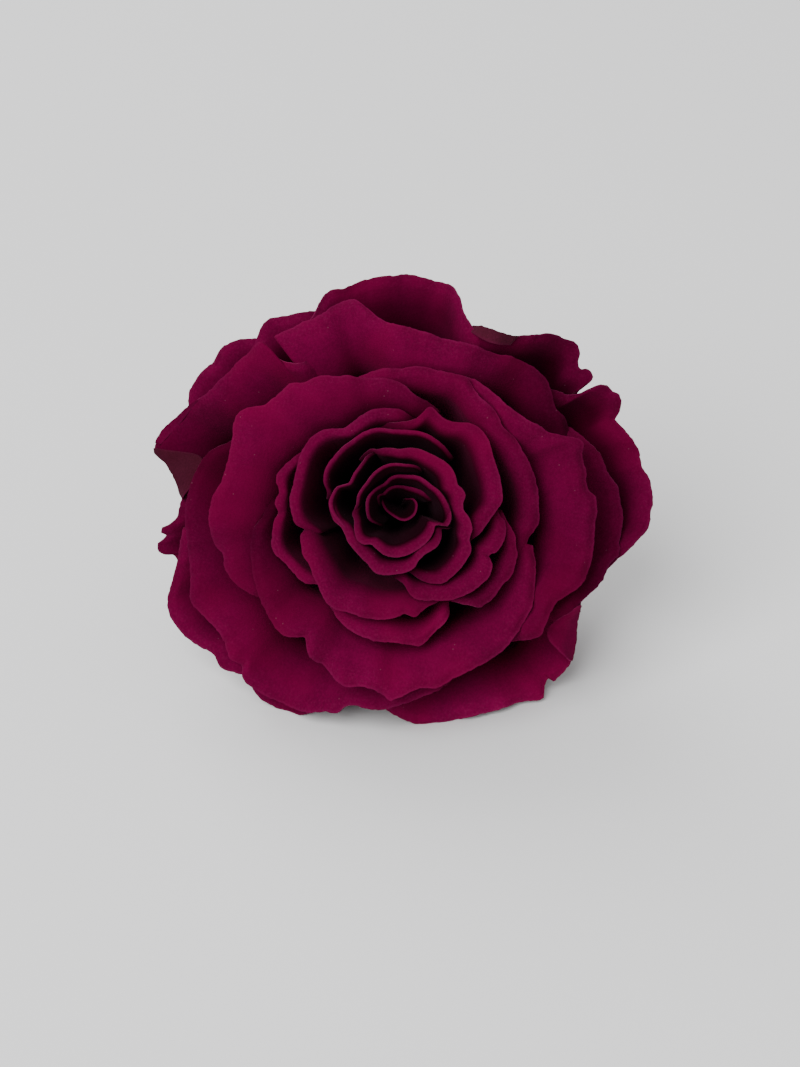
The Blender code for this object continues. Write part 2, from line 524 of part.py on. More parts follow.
def bloom():
    core = turned("core", CORE, CORE_SIDES)
    walls = nested_walls()
    blades = [petal(name, walls[name], *values) for name, values in PETALS.items()]
    tips = [folded_tip(name, walls, *values) for name, values in FOLDED_TIPS.items()]
    return fused("bloom", core, blades + tips, material("petal", PETAL_COLOUR, 0.8))


def calyx():
    hip = turned("hip", HIP, CORE_SIDES)
    leaves = [sepal(f"sepal_{number}", angle, reach) for number, (angle, reach) in enumerate(SEPALS)]
    return fused("calyx", hip, leaves, material("calyx", CALYX_COLOUR, 0.85))


def stem_stub():
    top = -(HIP_LENGTH + GAP)
    outline = ((0, top), (STUB_RADIUS, top), (STUB_RADIUS, STUB_END), (0, STUB_END))
    stub = turned("stem_stub", outline, STUB_SIDES)
    rose.objects.link(stub)
    return settled(stub, material("stem", STUB_COLOUR, 0.9), [], None)


for old in list(bpy.data.objects):
    bpy.data.objects.remove(old, do_unlink=True)

rose = bpy.data.collections.new("preserved_rose")
bpy.context.scene.collection.children.link(rose)

bloom()
calyx()
stem_stub()
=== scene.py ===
"""The looks of a preserved rose head: every petal as a thin waved blade, with its hip, sepals and cut stub.

The rose's own frame has its axis W along the open face, its V axis up the face and its U axis to the right.
Sizes in it are millimetres. Each petal is cut from one family of nested bowls, as in the solids it replaces.
"""

import math

import bpy
import numpy as np
from bpy.props import FloatProperty, FloatVectorProperty, PointerProperty
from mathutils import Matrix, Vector


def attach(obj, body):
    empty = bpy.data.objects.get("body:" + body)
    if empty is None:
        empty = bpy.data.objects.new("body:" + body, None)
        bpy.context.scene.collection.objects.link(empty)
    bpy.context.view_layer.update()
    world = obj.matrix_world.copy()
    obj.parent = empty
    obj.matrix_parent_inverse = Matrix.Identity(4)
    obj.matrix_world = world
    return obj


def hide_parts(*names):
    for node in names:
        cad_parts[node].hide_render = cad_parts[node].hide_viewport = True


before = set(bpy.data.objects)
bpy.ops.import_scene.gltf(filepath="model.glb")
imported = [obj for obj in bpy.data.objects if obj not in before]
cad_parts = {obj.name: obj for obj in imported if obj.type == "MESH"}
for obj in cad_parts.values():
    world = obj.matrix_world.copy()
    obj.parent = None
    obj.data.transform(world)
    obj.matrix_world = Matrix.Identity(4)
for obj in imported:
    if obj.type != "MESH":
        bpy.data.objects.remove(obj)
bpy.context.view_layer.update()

bl_info = {
    "name": "Preserved Rose",
    "version": (1, 0, 0),
    "blender": (4, 5, 0),
    "location": "3D View > Sidebar > Rose",
    "description": "Dresses a preserved rose head, petal by petal",
    "category": "Object",
}

MM = 0.001

# How the rose lies
AXIS_RISE = math.radians(35)
MIDDLE_SHIFT = -16.15
SIDE_SHIFT = 0.4
LEAST_SHAVE = 0.1
STUB_RADIUS = 2.7
STUB_TOP = -8.3
STUB_END = -12.0
ORIGIN_HEIGHT = STUB_RADIUS * math.cos(AXIS_RISE) - STUB_END * math.sin(AXIS_RISE) - LEAST_SHAVE

# The view that the rims were read in: nearer points look larger
VIEW_DISTANCE = 330
MEAN_HEIGHT = 27

# Petals. Numbers in threes hold for a petal's first side, its middle and its last side.
THREE_PLACES = (0, 0.5, 1)
LEAST_LIP = 0.3
ROOT_NARROWING = 0.65
NARROWING_WALLS = (12, 16)
COLUMN_STEP = 0.36
FEWEST_COLUMNS = 36
BOWL_ROWS = 12
LIP_ROWS = 30
LIP_ROW_CROWDING = 1.35
RIM_TAPER = 1.2
RIM_THINNESS = 0.45
TAPER_STEPS = 8
FAR_FROM_RIM = 12.0

# Waves of a petal, by their lengths, and their shares on the narrowest and the broadest petals
BREADTH_WALLS = (4, 16)
NIBBLE_WAVES = (1.1, 1.7, 2.9)
FINE_NIBBLE_WAVES = (0.45, 0.7)
FINE_NIBBLE_SHARE = 0.6
NIBBLE_SHARES = (0.4, 1.2)
RUFFLE_WAVES = (5.5, 8.5, 13.0)
RUFFLE_SHARES = (0.1, 1.0)
THROAT_RUFFLE = 0.2
CREASE_HEIGHT = 0.06
CREASE_WAVES = (1.3, 1.9, 2.6)
CREASE_SHARES = (0.3, 1.0)
ROLL_REACH = 1.4
ROLL_WAVES = (4.0, 7.5)
ROLL_SWING = 0.6
ROLL_SHARES = (0.2, 1.0)
WAVE_STRETCH = (0.85, 1.15)
END_NARROWNESS = 3

# The nested bowls, by the radius of their wall: height of the lip, and how many degrees further it falls
# back at the top of the face than at its sides
WALLS = (0.3, 1.5, 3, 4, 5, 7, 9, 11, 13, 15, 17, 19, 21, 23, 24.5)
LIPS = (34.5, 36, 38.6, 40.8, 41.6, 41.4, 40.9, 40.1, 38.9, 37.2, 34.9, 31.8, 28, 24, 21.5)
TILTS = (0, 0, 2, 3, 4, 8, 10, 12, 12, 12, 12, 10, 6, 3, 0)
LEAN = math.radians(14)
BEND_WALLS = (5, 13)
BEND_SHARES = (1.5, 0.85)
MOST_BEND = 6.5
NEST_GAP = 0.5
NEST_SMOOTHING = 11
WALL_SMOOTHING = 5
ROOT_HEIGHTS = (12.5, 3.0)
ROOT_SHARE = 0.5
DEEPEST_ROOT = 7.5
FULLNESS = 0.55
END_DROP = 2.0

# The closed stack of claws, as (radius, height)
ON_AXIS = 0.01
CORE = ((ON_AXIS, 16.5), (4.5, 15.5), (8, 12), (9.5, 7), (8, 2.5), (5.4, 0), (ON_AXIS, 0))

# Each petal: the widths of its lip at its first side, middle and last side, the degrees that its lip falls
# back (less than zero where it stands up as a cup), and its rim as (degrees, millimetres)
HEART_PETALS = {
    "bud": ((0.3, 0.35, 0.3), 0, (
        (160, 3.1), (190, 2.6), (230, 2.1), (280, 2.3), (310, 2.2), (340, 2.0), (380, 1.6), (410, 0.8),
        (440, 0.5))),
    "bud_wrap": ((0.9, 0.4, 0.35), 0, (
        (5, 4.3), (20, 3.5), (40, 2.8), (60, 2.4), (90, 2.3), (110, 2.5), (140, 2.8), (170, 3.0),
        (185, 3.0))),
    "upper_arc": ((0.9, 0.45, 0.4), 0, (
        (-30, 6.4), (-24, 6.8), (-14, 6.5), (-2, 5.9), (16, 5.1), (34, 4.4), (57, 4.1), (87, 3.7),
        (111, 3.8), (134, 3.6), (152, 4.1), (170, 4.7), (190, 4.9), (206, 5.0), (218, 4.4), (228, 4.0))),
    "lower_arc": ((0.7, 1.7, 0.6), 4, (
        (178, 5.6), (184, 6.1), (191, 6.8), (200, 6.8), (210, 7.3), (220, 7.7), (227, 7.4), (232, 6.8),
        (239, 6.9), (250, 7.2), (261, 7.2), (272, 6.9), (284, 6.5), (298, 6.1), (311, 5.7), (326, 5.1),
        (341, 4.7), (358, 4.6), (368, 4.1), (376, 3.8))),
    "left_arc": ((0.35, 0.4, 0.4), 0, (
        (60, 5.0), (68, 5.2), (83, 5.1), (95, 5.2), (109, 5.4), (137, 5.5), (150, 5.5), (160, 5.7),
        (169, 6.0), (184, 6.1), (196, 6.3))),
    "heart_lower": ((0.6, 2.2, 0.8), 4, (
        (165, 8.6), (173, 9.2), (177, 9.7), (183, 9.7), (189, 9.5), (195, 9.3), (199, 8.8), (204, 8.6),
        (216, 8.8), (227, 8.9), (240, 9.2), (248, 9.8), (253, 9.8), (265, 9.3), (276, 8.9), (280, 8.6),
        (285, 7.8), (293, 7.3), (310, 7.2), (319, 6.7), (326, 6.0), (334, 5.6))),
    "heart_left": ((0.4, 0.45, 0.5), 2, (
        (118, 7.7), (126, 7.8), (137, 7.5), (150, 7.5), (172, 7.5), (182, 7.7), (202, 7.8), (219, 8.4),
        (228, 8.3))),
    "heart_right": ((1.6, 2.4, 0.7), 4, (
        (-92, 8.6), (-85, 9.1), (-76, 10.5), (-64, 11.7), (-53, 11.5), (-40, 11.1), (-35, 10.9),
        (-29, 9.9), (-21, 9.7), (-12, 8.8), (-6, 7.9), (-1, 7.8), (7, 8.2), (13, 8.0), (19, 7.5),
        (25, 7.7), (34, 7.8), (44, 7.7), (56, 7.4), (80, 7.3), (95, 7.1), (104, 7.4), (113, 7.7),
        (125, 7.8), (135, 7.7))),
}
RING_PETALS = {
    "inner_top": ((0.6, 0.6, 0.6), 6, (
        (42, 8.9), (50, 9.1), (58, 9.3), (66, 9.5), (75, 9.6), (90, 9.5), (102, 9.9),
        (109, 10.4), (116, 10.6), (130, 10.6), (138, 10.8), (145, 10.9), (156, 11.1), (162, 11),
        (167, 10.6), (170, 9.9), (173, 9.2), (177, 8.4))),
    "ring_right": ((2.4, 2.8, 1.2), 6, (
        (-36, 9.8), (-27, 10.3), (-21, 10.9), (-16, 11.2), (-10, 11.6), (-5, 12.2), (0, 12.9),
        (9, 13.1), (24, 13.2), (29, 13.4), (36, 13.9), (49, 13.8), (53, 13.2), (56, 12.7), (60, 12.4),
        (65, 12.3), (70, 12.8), (74, 13.2), (78, 12), (82, 11), (87, 10.7), (95, 10.6), (103, 10.7),
        (110, 10.9))),
    "ring_left": ((2.4, 1.6, 1.4), 6, (
        (80, 11.0), (86, 11.6), (90, 12.1), (94, 12.4), (100, 12.6), (108, 12.9), (115, 12.7),
        (122, 12.5), (128, 12.4), (131, 12.9), (134, 13.6), (139, 14.4), (144, 14.9), (149, 15.0),
        (160, 14.8), (169, 14.6), (180, 14.9), (187, 14.6), (191, 14.4), (194, 13.6), (196, 13.0),
        (200, 12.2))),
    "ring_lower_right": ((2.2, 3.2, 1.6), 10, (
        (262, 9.8), (270, 10.5), (274, 11.9), (277, 12.6), (281, 13.0), (287, 13.3), (293, 13.9),
        (299, 14.3), (305, 14.6), (313, 14.8), (320, 14.8), (325, 14.3), (327, 13.7), (328.5, 13.0),
        (330, 13.2), (332, 13.8), (335, 14.0), (347, 13.9), (350, 13.6), (352, 13.0), (358, 12.2))),
    "ring_lower_left": ((2.2, 4.2, 2.4), 10, (
        (188, 12.3), (195, 13.2), (197, 13.9), (203, 14.5), (208, 14.8), (214, 14.7), (219, 15.2),
        (224, 15.5), (229, 16.1), (234, 16.5), (238, 16.5), (242, 16.1), (253, 15.8), (263, 15.3),
        (268, 14.8), (270, 14.5), (276, 15.0), (280, 14.4), (284, 13.9), (288, 13.8), (296, 13.2))),
    "step_right": ((1.6, 2.4, 1.2), 6, (
        (288, 13.4), (295, 14.1), (301, 15.4), (304, 16.2), (306, 16.8), (310, 17.1), (322, 16.9),
        (326, 17.1), (331, 16.8), (336, 16.4), (340, 15.8), (345, 15.1), (348, 14.4), (350, 13.9),
        (356, 13.0))),
    "step_lower": ((2.6, 3.8, 1.8), 12, (
        (228, 15.6), (235, 16.6), (243, 17.7), (251, 18.2), (259, 18.4), (267, 18.3), (272, 18.5),
        (275.5, 18.8), (278, 18.7), (280, 18.2), (283, 17.6), (287, 16.9), (290, 16.5), (293, 15.6),
        (294, 14.8), (295, 14.0))),
    "step_left": ((1.2, 1.4, 1.4), 6, (
        (152, 14.8), (159, 15.9), (163, 16.5), (167, 17.0), (170.5, 16.9), (175, 16.2), (177, 16.6),
        (182, 16.6), (184.5, 16.3), (187, 17.0), (191, 17.4), (198, 18.1), (201, 18.1), (204, 17.7),
        (208, 17.2), (213, 17.0), (220, 16.4), (222, 15.8), (228, 14.8))),
}
BROAD_PETALS = {
    "broad_lower": ((4.0, 8.5, 4.0), 12, (
        (178, 17.4), (185, 18.4), (189, 19.7), (193, 20.4), (200, 21.2), (206, 21.8), (214, 22.6),
        (219, 23.0), (228, 23.3), (231, 22.6), (234, 21.8), (236, 22.6), (239, 23.6), (243, 23.6),
        (249, 24.7), (252, 25.2), (257, 24.6), (264, 25.2), (266, 25.9), (268, 25.6), (272, 24.8),
        (275, 24.3), (280, 24.6), (286, 23.9), (295, 23.5), (305, 23.3), (310, 22.8), (319, 21.9),
        (323, 21.4), (328, 20.5), (337, 19.0), (342, 18.0))),
    "broad_upper_left": ((3.0, 10.5, 8.0), 8, (
        (68, 12.9), (75, 13.5), (85, 14.5), (90, 15.6), (95, 16.2), (101, 16.7), (107, 17.1), (110, 17.5),
        (113, 18.2), (118, 18.8), (121, 19.6), (124, 20.1), (130, 20.7), (133, 21.7), (141, 21.9),
        (144, 22.2), (147, 23.4), (151, 24.6), (156, 24.6), (159, 24.1), (165, 23.7), (169, 23.8),
        (173, 24.1), (179, 25.2), (187, 25.5), (193, 25.2), (196, 24.6), (199, 24.9), (202, 24.8),
        (208, 23.9), (216, 21.5), (222, 19.5))),
    "upper_ring": ((2.4, 3.2, 3.4), 8, (
        (-30, 16.0), (-21, 17.0), (-14, 17.3), (-9, 18.0), (0, 17.8), (8, 17.8), (19, 17.4), (24, 17.1),
        (29, 17.2), (34, 16.9), (37, 16.5), (42, 17.0), (46, 17.2), (51, 17.1), (56, 17.4), (59, 18.0),
        (64, 18.7), (68, 18.4), (74, 18.1), (83, 18.2), (90, 17.8), (105, 17.9), (110, 17.8),
        (118, 17.2))),
    "broad_right": ((7.0, 8.5, 4.5), 10, (
        (-58, 20.5), (-50, 23.5), (-43, 25.0), (-40, 24.5), (-32, 24.1), (-28, 25.0), (-25, 25.6),
        (-20, 26.0), (-15, 25.8), (-7, 25.4), (0, 25.4), (2.4, 25.2), (3.6, 24.7), (10, 24.5), (15, 24.5),
        (19, 24.9), (20.5, 24.4), (22, 23.4), (24, 22.3), (26, 21.3), (29, 20.7), (33, 19.8), (37, 19.2),
        (42, 18.8), (54, 18.7), (62, 18.7), (70, 18.0))),
}
OUTER_PETALS = {
    "outer_top": ((4.0, 7.0, 11.0), 8, (
        (16, 22.5), (20, 23.6), (24, 24.1), (27, 24.3), (32, 23.7), (37, 24.4), (40, 24.9), (46, 24.9),
        (53, 24.1), (58, 23.3), (66, 22.7), (77, 22.4), (86, 23.0), (94, 23.8), (97, 24.6), (99.6, 25.8),
        (102, 27.1), (104, 27.9), (107, 28.1), (110, 27.6), (112, 27.2), (120, 27.5), (127.7, 28.1))),
    "outer_left": ((7.0, 9.0, 7.0), 0, (
        (150, 21.5), (156, 23.0), (160.5, 24.3), (164.5, 26.2), (168, 27.0), (177, 28.2), (183, 28.6),
        (188, 28.6), (194, 28.9), (199, 29.4), (205, 30.5), (210, 29.8), (214, 29.4), (217, 29.4),
        (222, 30.3), (225, 29.8), (227, 30.8), (233, 30.9), (239, 30.4), (244.5, 30.1), (250, 28.9),
        (252.5, 28.6), (254, 27.6), (256, 27.1), (261, 27.2), (265, 26.9), (270, 26.2), (277, 25.2),
        (280, 24.9), (288, 23.5))),
    "outer_upper_left": ((8.0, 9.0, 8.0), 4, (
        (118, 22.6), (127, 23), (130, 24.4), (130.8, 25.6), (130.9, 26.9), (131, 28.2), (135, 28.5),
        (145, 28.9), (149, 29.35), (152, 29.9), (154, 30.6), (158, 31.6), (162, 32.7), (167, 33.4),
        (168, 33.2), (170, 31.7), (173, 30.3), (178, 29.1), (183, 27))),
    "outer_right": ((6.0, 7.0, 5.5), -22, (
        (-38, 25.0), (-29, 26.5), (-23, 27.3), (-15, 28.2), (-13, 28.8), (-10, 28.6), (-3.5, 28.6),
        (2, 28.1), (5, 27.9), (9, 26.9), (14.5, 26.3), (19, 25.5), (23, 24.4), (30, 22.5))),
    "outer_bottom": ((6.5, 7.5, 6.0), 8, (
        (256, 24.5), (262, 26.2), (268, 27.7), (273, 28.8), (275.2, 29.3), (280, 29.2), (287, 29.2),
        (294, 29.6), (300, 30.1), (303, 30.7), (306, 31.3), (306.8, 30.9), (308.2, 30.1), (309.9, 29.8),
        (310.6, 30.6), (311.8, 30.5), (314.5, 30.4), (318, 29.9), (322.6, 28.6), (326.6, 27.5),
        (331, 26.7), (336, 25.5))),
}
GUARD_PETALS = {
    "guard_top": ((6.5, 8.0, 7.0), -30, (
        (62, 23.5), (68, 24.6), (72, 26.0), (75, 28.0), (77, 28.9), (80, 29.0), (87, 29.7), (95, 29.7),
        (99, 29.4), (105, 29.1), (108, 29.3), (112, 28.4), (114, 27.7), (120, 26.0))),
    "guard_top_left": ((7.0, 8.0, 7.0), -12, (
        (104, 26.0), (114, 27.7), (118, 28.4), (122, 29.0), (127, 29.9), (131, 29.0), (136, 27.5))),
    "guard_right": ((8.0, 9.0, 7.5), -30, (
        (-26, 26.5), (-14, 28.8), (-9.4, 30.5), (-6, 31.5), (-1.4, 32.1), (1.5, 32.3), (5, 32.1),
        (10, 31.2), (15, 30.9), (19, 30.2), (22, 29.7), (23, 30.4), (25, 31.2), (27, 31.4),
        (28.3, 30.7), (29.6, 30.5), (31, 29.9), (31.6, 28.8), (31.9, 27.4), (33.5, 25.8), (38, 24.6))),
    "guard_upper_left": ((7.5, 8.5, 7.5), -10, (
        (124, 26.8), (131, 28.8), (135, 30.4), (140, 31.3), (142, 31.0), (147, 31.5), (152, 31.5),
        (158, 30.0), (164, 28.0))),
    "guard_upper_right": ((7.0, 8.0, 6.0), -36, (
        (28, 25.5), (32.2, 26.4), (33, 27.6), (33.1, 28.8), (33.6, 29.6), (34.8, 29.7), (36.4, 29.4),
        (37.5, 28.7), (38.8, 29), (40.9, 30), (43.3, 30.3), (45.8, 29.8), (48.9, 29.2), (52, 27.8),
        (54, 26.8), (56, 26.1), (61, 25.5), (69, 24.6), (76, 23.8))),
    "guard_lower_left": ((8.0, 9.0, 8.0), -8, (
        (186, 29.0), (195, 30.6), (199, 32.0), (203, 33.4), (205, 33.6), (210, 33.4), (214, 32.6),
        (218, 31.6), (222, 31.8), (225, 31.0), (230, 29.5), (236, 28.0))),
    "guard_left": ((7.5, 8.0, 7.5), -10, (
        (172, 27.5), (179, 29), (183.4, 29.6), (184.9, 30.6), (185.7, 31.6), (186.5, 31.8),
        (187.4, 31.1), (188.1, 31.5), (189.3, 32.4), (190.8, 32.4), (191.8, 31.7), (192.4, 30.6),
        (194.8, 30.2), (198, 29.2))),
    "guard_bottom": ((7.5, 8.0, 6.5), -4, (
        (226, 29.0), (232, 31.3), (238, 31.3), (244, 30.6), (246, 29.8), (249, 28.0), (252, 26.5))),
    "guard_lower_right": ((4.0, 4.0, 4.0), -10, (
        (298, 24.0), (306, 25.0), (318, 25.6), (330, 25.8), (342, 26.2), (350, 25.6), (356, 24.5))),
}

# Tips that fold over to the front: the petal, the angles its rim folds between, the lift of the free edge,
# and that edge as (degrees, millimetres)
FOLDED_TIPS = {
    "left_tip": ("outer_upper_left", (167, 178.8), 1.2, (
        (167.1, 33.0), (168, 26.6), (173.5, 27.2), (178.5, 28.8))),
    "left_roll": ("outer_upper_left", (153, 166.3), 0.6, (
        (152.4, 29.8), (155.9, 30.3), (159.7, 30.9), (163, 31.7), (166.2, 32.6))),
    "right_tip": ("outer_bottom", (317, 331), 4.0, (
        (316.8, 29.4), (316.8, 27.2), (317.4, 25.4), (319.5, 24.6), (322.5, 24.7), (326, 25.3),
        (330.5, 26.4))),
    "top_tip": ("guard_upper_right", (55, 69), 0.8, (
        (56, 25.0), (59, 24.2), (64, 23.8), (68.5, 24.1))),
}
TIP_ROWS = 24
PALE_TIPS = ("left_tip", "top_tip")

# How light a petal is painted beside the others, at its first side, middle and last side: partly its own
# tone,
# mostly painted shade where it lies in shadow or turns from the light, and painted light where more light
# falls on it
PLAIN_TONES = (1.0, 1.0, 1.0)
TONES_AND_PAINTED_LIGHT = {
    "ring_right": (1.0, 1.0, 0.85),
    "step_lower": (1.0, 1.15, 1.15),
    "step_right": (0.9, 0.9, 0.87),
    "upper_ring": (0.75, 1.0, 1.05),
    "broad_lower": (0.35, 1.2, 0.9),
    "broad_upper_left": (0.85, 1.08, 0.7),
    "broad_right": (0.82, 0.92, 1.1),
    "outer_top": (0.3, 1.1, 1.03),
    "outer_left": (0.25, 1.08, 0.95),
    "outer_upper_left": (1.0, 0.88, 0.45),
    "outer_bottom": (1.15, 1.8, 0.95),
    "outer_right": (0.8, 0.8, 0.8),
    "guard_right": (1.0, 1.02, 0.8),
    "guard_left": (0.8, 0.8, 0.8),
    "guard_upper_right": (0.75, 0.75, 0.75),
}

# How much painted shade darkens a petal, and over which share of its lip: at the top of the face, in the
# heart, at the ends of the heart's petals and, in millimetres from the rim, on the guard petals
# This painted shade stands in for the shade that falls in the throats and hollows between the petals
TOP_SHADES = {"broad_upper_left": 0.7}
TOP_NARROWNESS = 3
SHADED_TOPS = (0.12, 0.6)
HEART_SHADE = 0.88
HEART_WALLS = (14, 8)
SHADED_LIPS = (0.5, 1.3)
END_SHADE = 0.8
GUARD_SHADE = 0.48
GUARD_FROM_RIM = (1.2, 4.5)

# Patches of a finish: their repeats a metre, their detail, and the noise at which they start and are full
MOTTLE = (420, 4, 0.32, 0.7)
GRAIN = (3200, 2, 0.35, 0.7)
FUZZ = (3600, 3, 0.45, 0.72)
CLOUDS = (85, 2, 0.42, 0.68)
BLOTCHES = (350, 5, 0.3, 0.7)
FLECKS = (1500, 2, 0.58, 0.72)

# Finish of a petal: how light its patches are and their shares, its dust, veins and skin, and the weight and
# tint of each face's sheen. Ways from the rim are millimetres, the dust's size is a share of its spacing, and
# a bump is a strength and a height in metres.
MOTTLE_TONES = (0.9, 1.08)
GRAIN_SHARE = 0.35
GRAIN_TONE = 1.5
EDGE_WIDTH = 0.5
EDGE_SHARE = 0.4
FUZZ_COLOUR = (0.16, 0.016, 0.065)
FUZZ_FROM_RIM = (0.2, 4.0)
FUZZ_SHARES = (0.15, 0.04)
CLOUD_SHARE = 0.5
CLOUD_TONE = 1.35
CLOUD_BLUE = 0.8
DUST_COLOUR = (0.27, 0.12, 0.17)
DUST_SCALE = 520
DUST_SIZE = (0.025, 0.055)
DUST_SHARE = 0.2
VEINS = {"Scale": 0.55, "Distortion": 2.5, "Detail": 2, "Detail Scale": 0.7}
VEIN_RELIEF = 0.06
SKIN = (2600, 3)
PETAL_BUMP = (0.55, 0.00009)
PETAL_FINISH = {"Roughness": 0.8, "Specular IOR Level": 0.0, "Sheen Roughness": 0.45}
SHEENS = {
    "petal_face": (0.02, (1, 0.5, 0.7, 1)),
    "petal_back": (0.04, (1, 0.6, 0.75, 1)),
    "petal_rim": (0.04, (1, 0.5, 0.7, 1)),
}

# Finish of the dried hip, sepals and stub
BLOTCH_TONES = (0.55, 1.35)
FLECK_SHARE = 0.6
FLECK_TONE = 2.2
CALYX_RIDGES = 900
BARK_RIDGES = 1200
RIDGE_DETAIL = (6, 0.7)
WRINKLES_TO_RIDGES = 4
WRINKLE_DETAIL = 2
DRIED_BUMP = (0.8, 0.00025)
DRIED_FINISH = {"Roughness": 0.82, "Specular IOR Level": 0.25}

# The hip below the petals, as (radius, height), its sepals as (degrees, reach), and the turned bodies
HIP = ((ON_AXIS, -0.3), (5.2, -0.3), (6.2, -2.2), (5.8, -4.8), (4.0, -7), (3.2, -8), (ON_AXIS, -8))
SEPALS = ((46, 20), (118, 21), (190, 20), (263, 27.5), (334, 19))
SEPAL_ROOT = (3.6, -2.4)
SEPAL_BOWL = (24.5, 12)
SEPAL_TIP_RISE = 3
SEPAL_ROOT_WIDTH = 0.25
SEPAL_SWELL = 0.39
SEPAL_TIP_WIDTH = 0.12
SEPAL_CUP = 0.5
SEPAL_COLUMNS = 21
SEPAL_ROWS = 70
MIDRIB_HEIGHT = 0.12
MIDRIB_WIDTH = 0.12
TURNED_SIDES = 96
TURNED_ROWS = 90
TURNED_WOBBLE = 0.02
RIDGE_COUNTS = (3, 5, 8, 13)
RIDGE_PHASES = (0, 6.28)

# The stage in metres: each light's place, size and power, and what the lights aim at
FLOOR_SIZE = 8
FLOOR_FINISH = {"Roughness": 0.9, "Specular IOR Level": 0.1}
ROOM_LIGHT = 0.58
LIGHTS = {
    "window": ((-0.5, -0.7, 0.9), 0.9, 20.5),
    "back_light": ((-0.45, 0.75, 0.8), 0.8, 8),
}
LIGHTS_AIM = (0, 0, 0.02)
NEAREST_SEEN = 0.01

# The photograph's size in pixels, where the heart lies in it and how wide the rose is
PHOTO_WIDTH, PHOTO_HEIGHT = 800, 1067
HEART_PIXEL = (403, 503)
HEART_HEIGHT = 40.8
ROSE_WIDTH_PIXELS = 497
ROSE_WIDTH = 65
SENSOR = 36


class RoseSizes(bpy.types.PropertyGroup):
    """Sizes of the petals and sepals that a user may change."""

    blade: FloatProperty(
        name="Petal thickness", description="Thickness of a petal",
        default=0.34 * MM, unit="LENGTH")
    ruffle: FloatProperty(
        name="Ruffle", description="Height of the waves near a broad petal's rim",
        default=0.55 * MM, unit="LENGTH")
    nibble: FloatProperty(
        name="Rim nibble", description="Depth of the small uneven waves of a rim",
        default=0.06 * MM, unit="LENGTH")
    roll: FloatProperty(
        name="Rim roll", description="How far a rim rolls back",
        default=0.45 * MM, unit="LENGTH")
    sepal_blade: FloatProperty(
        name="Sepal thickness", description="Thickness of a sepal",
        default=0.5 * MM, unit="LENGTH")
    sepal_half_width: FloatProperty(
        name="Sepal half width", description="Half the width of a sepal",
        default=2.7 * MM, unit="LENGTH")


class RoseColours(bpy.types.PropertyGroup):
    """Colours of the rose and its stage that a user may change."""

    face: FloatVectorProperty(
        name="Petal face", description="Inner face of a petal",
        default=(0.083, 0.0006, 0.0215), subtype="COLOR", size=3)
    back: FloatVectorProperty(
        name="Petal back", description="Outer face of a petal",
        default=(0.055, 0.007, 0.018), subtype="COLOR", size=3)
    rim: FloatVectorProperty(
        name="Petal rim", description="Edge of a petal",
        default=(0.125, 0.006, 0.042), subtype="COLOR", size=3)
    calyx: FloatVectorProperty(
        name="Calyx", description="Hip and sepals",
        default=(0.13, 0.11, 0.045), subtype="COLOR", size=3)
    stem: FloatVectorProperty(
        name="Stem", description="Bark of the stub",
        default=(0.17, 0.12, 0.05), subtype="COLOR", size=3)
    floor: FloatVectorProperty(
        name="Floor", description="The surface it lies on",
        default=(0.80, 0.80, 0.805), subtype="COLOR", size=3)


class NodeGraph:
    """Adds shader nodes to a material and links them in a few words."""

    # The colour sockets of a mix node
    MIXED_COLOURS = (6, 7)
    MIX_RESULT = 2

    def __init__(self, name):
        self.material = bpy.data.materials.new(name)
        self.material.use_nodes = True
        self.tree = self.material.node_tree
        self.shader = self.tree.nodes["Principled BSDF"]

    def add(self, kind, **settings):
        """A node of this kind, with its sockets and its own settings given by name."""
        node = self.tree.nodes.new(kind)
        for key, value in settings.items():
            if key in node.inputs:
                node.inputs[key].default_value = value
            else:
                setattr(node, key, value)
        return node

    def finish(self, sockets):
        """Sets numbers and colours on the shader's own sockets."""
        for socket, value in sockets.items():
            self.shader.inputs[socket].default_value = value

    def link(self, output, target):
        self.tree.links.new(output, target)

    def attribute(self, name):
        return self.add("ShaderNodeAttribute", attribute_name=name).outputs["Fac"]

    def position(self):
        return self.add("ShaderNodeTexCoord").outputs["Object"]

    def noise(self, vector, scale, detail=3.0, roughness=0.55):
        node = self.add("ShaderNodeTexNoise", Scale=scale, Detail=detail, Roughness=roughness)
        self.link(vector, node.inputs["Vector"])
        return node.outputs["Fac"]

    def remap(self, value, low, high, to_low=0.0, to_high=1.0):
        limits = {"From Min": low, "From Max": high, "To Min": to_low, "To Max": to_high}
        node = self.add("ShaderNodeMapRange", interpolation_type="SMOOTHSTEP", **limits)
        self.link(value, node.inputs["Value"])
        return node.outputs["Result"]

    def patches(self, vector, scale, detail, low, high):
        """Uneven patches, from 0 where the noise is low to 1 where it is high."""
        return self.remap(self.noise(vector, scale, detail), low, high)

    def combine(self, operation, first, second):
        node = self.add("ShaderNodeMath", operation=operation)
        for socket, value in zip(node.inputs, (first, second)):
            if isinstance(value, (int, float)):
                socket.default_value = value
            else:
                self.link(value, socket)
        return node.outputs[0]

    def mix(self, share, first, second):
        node = self.add("ShaderNodeMix", data_type="RGBA")
        self.link(share, node.inputs["Factor"])
        for number, value in zip(self.MIXED_COLOURS, (first, second)):
            if isinstance(value, tuple):
                node.inputs[number].default_value = value
            else:
                self.link(value, node.inputs[number])
        return node.outputs[self.MIX_RESULT]

    def over(self, tone, where, share, colour):
        """The tone with a share of a colour laid over it, where the patches are."""
        return self.mix(self.combine("MULTIPLY", where, share), tone, colour)

    def scaled(self, colour, factor):
        node = self.add("ShaderNodeVectorMath", operation="SCALE")
        self.link(colour, node.inputs[0])
        self.link(factor, node.inputs["Scale"])
        return node.outputs[0]

    def bump(self, height, strength, distance):
        node = self.add("ShaderNodeBump", Strength=strength, Distance=distance)
        self.link(height, node.inputs["Height"])
        self.link(node.outputs["Normal"], self.shader.inputs["Normal"])


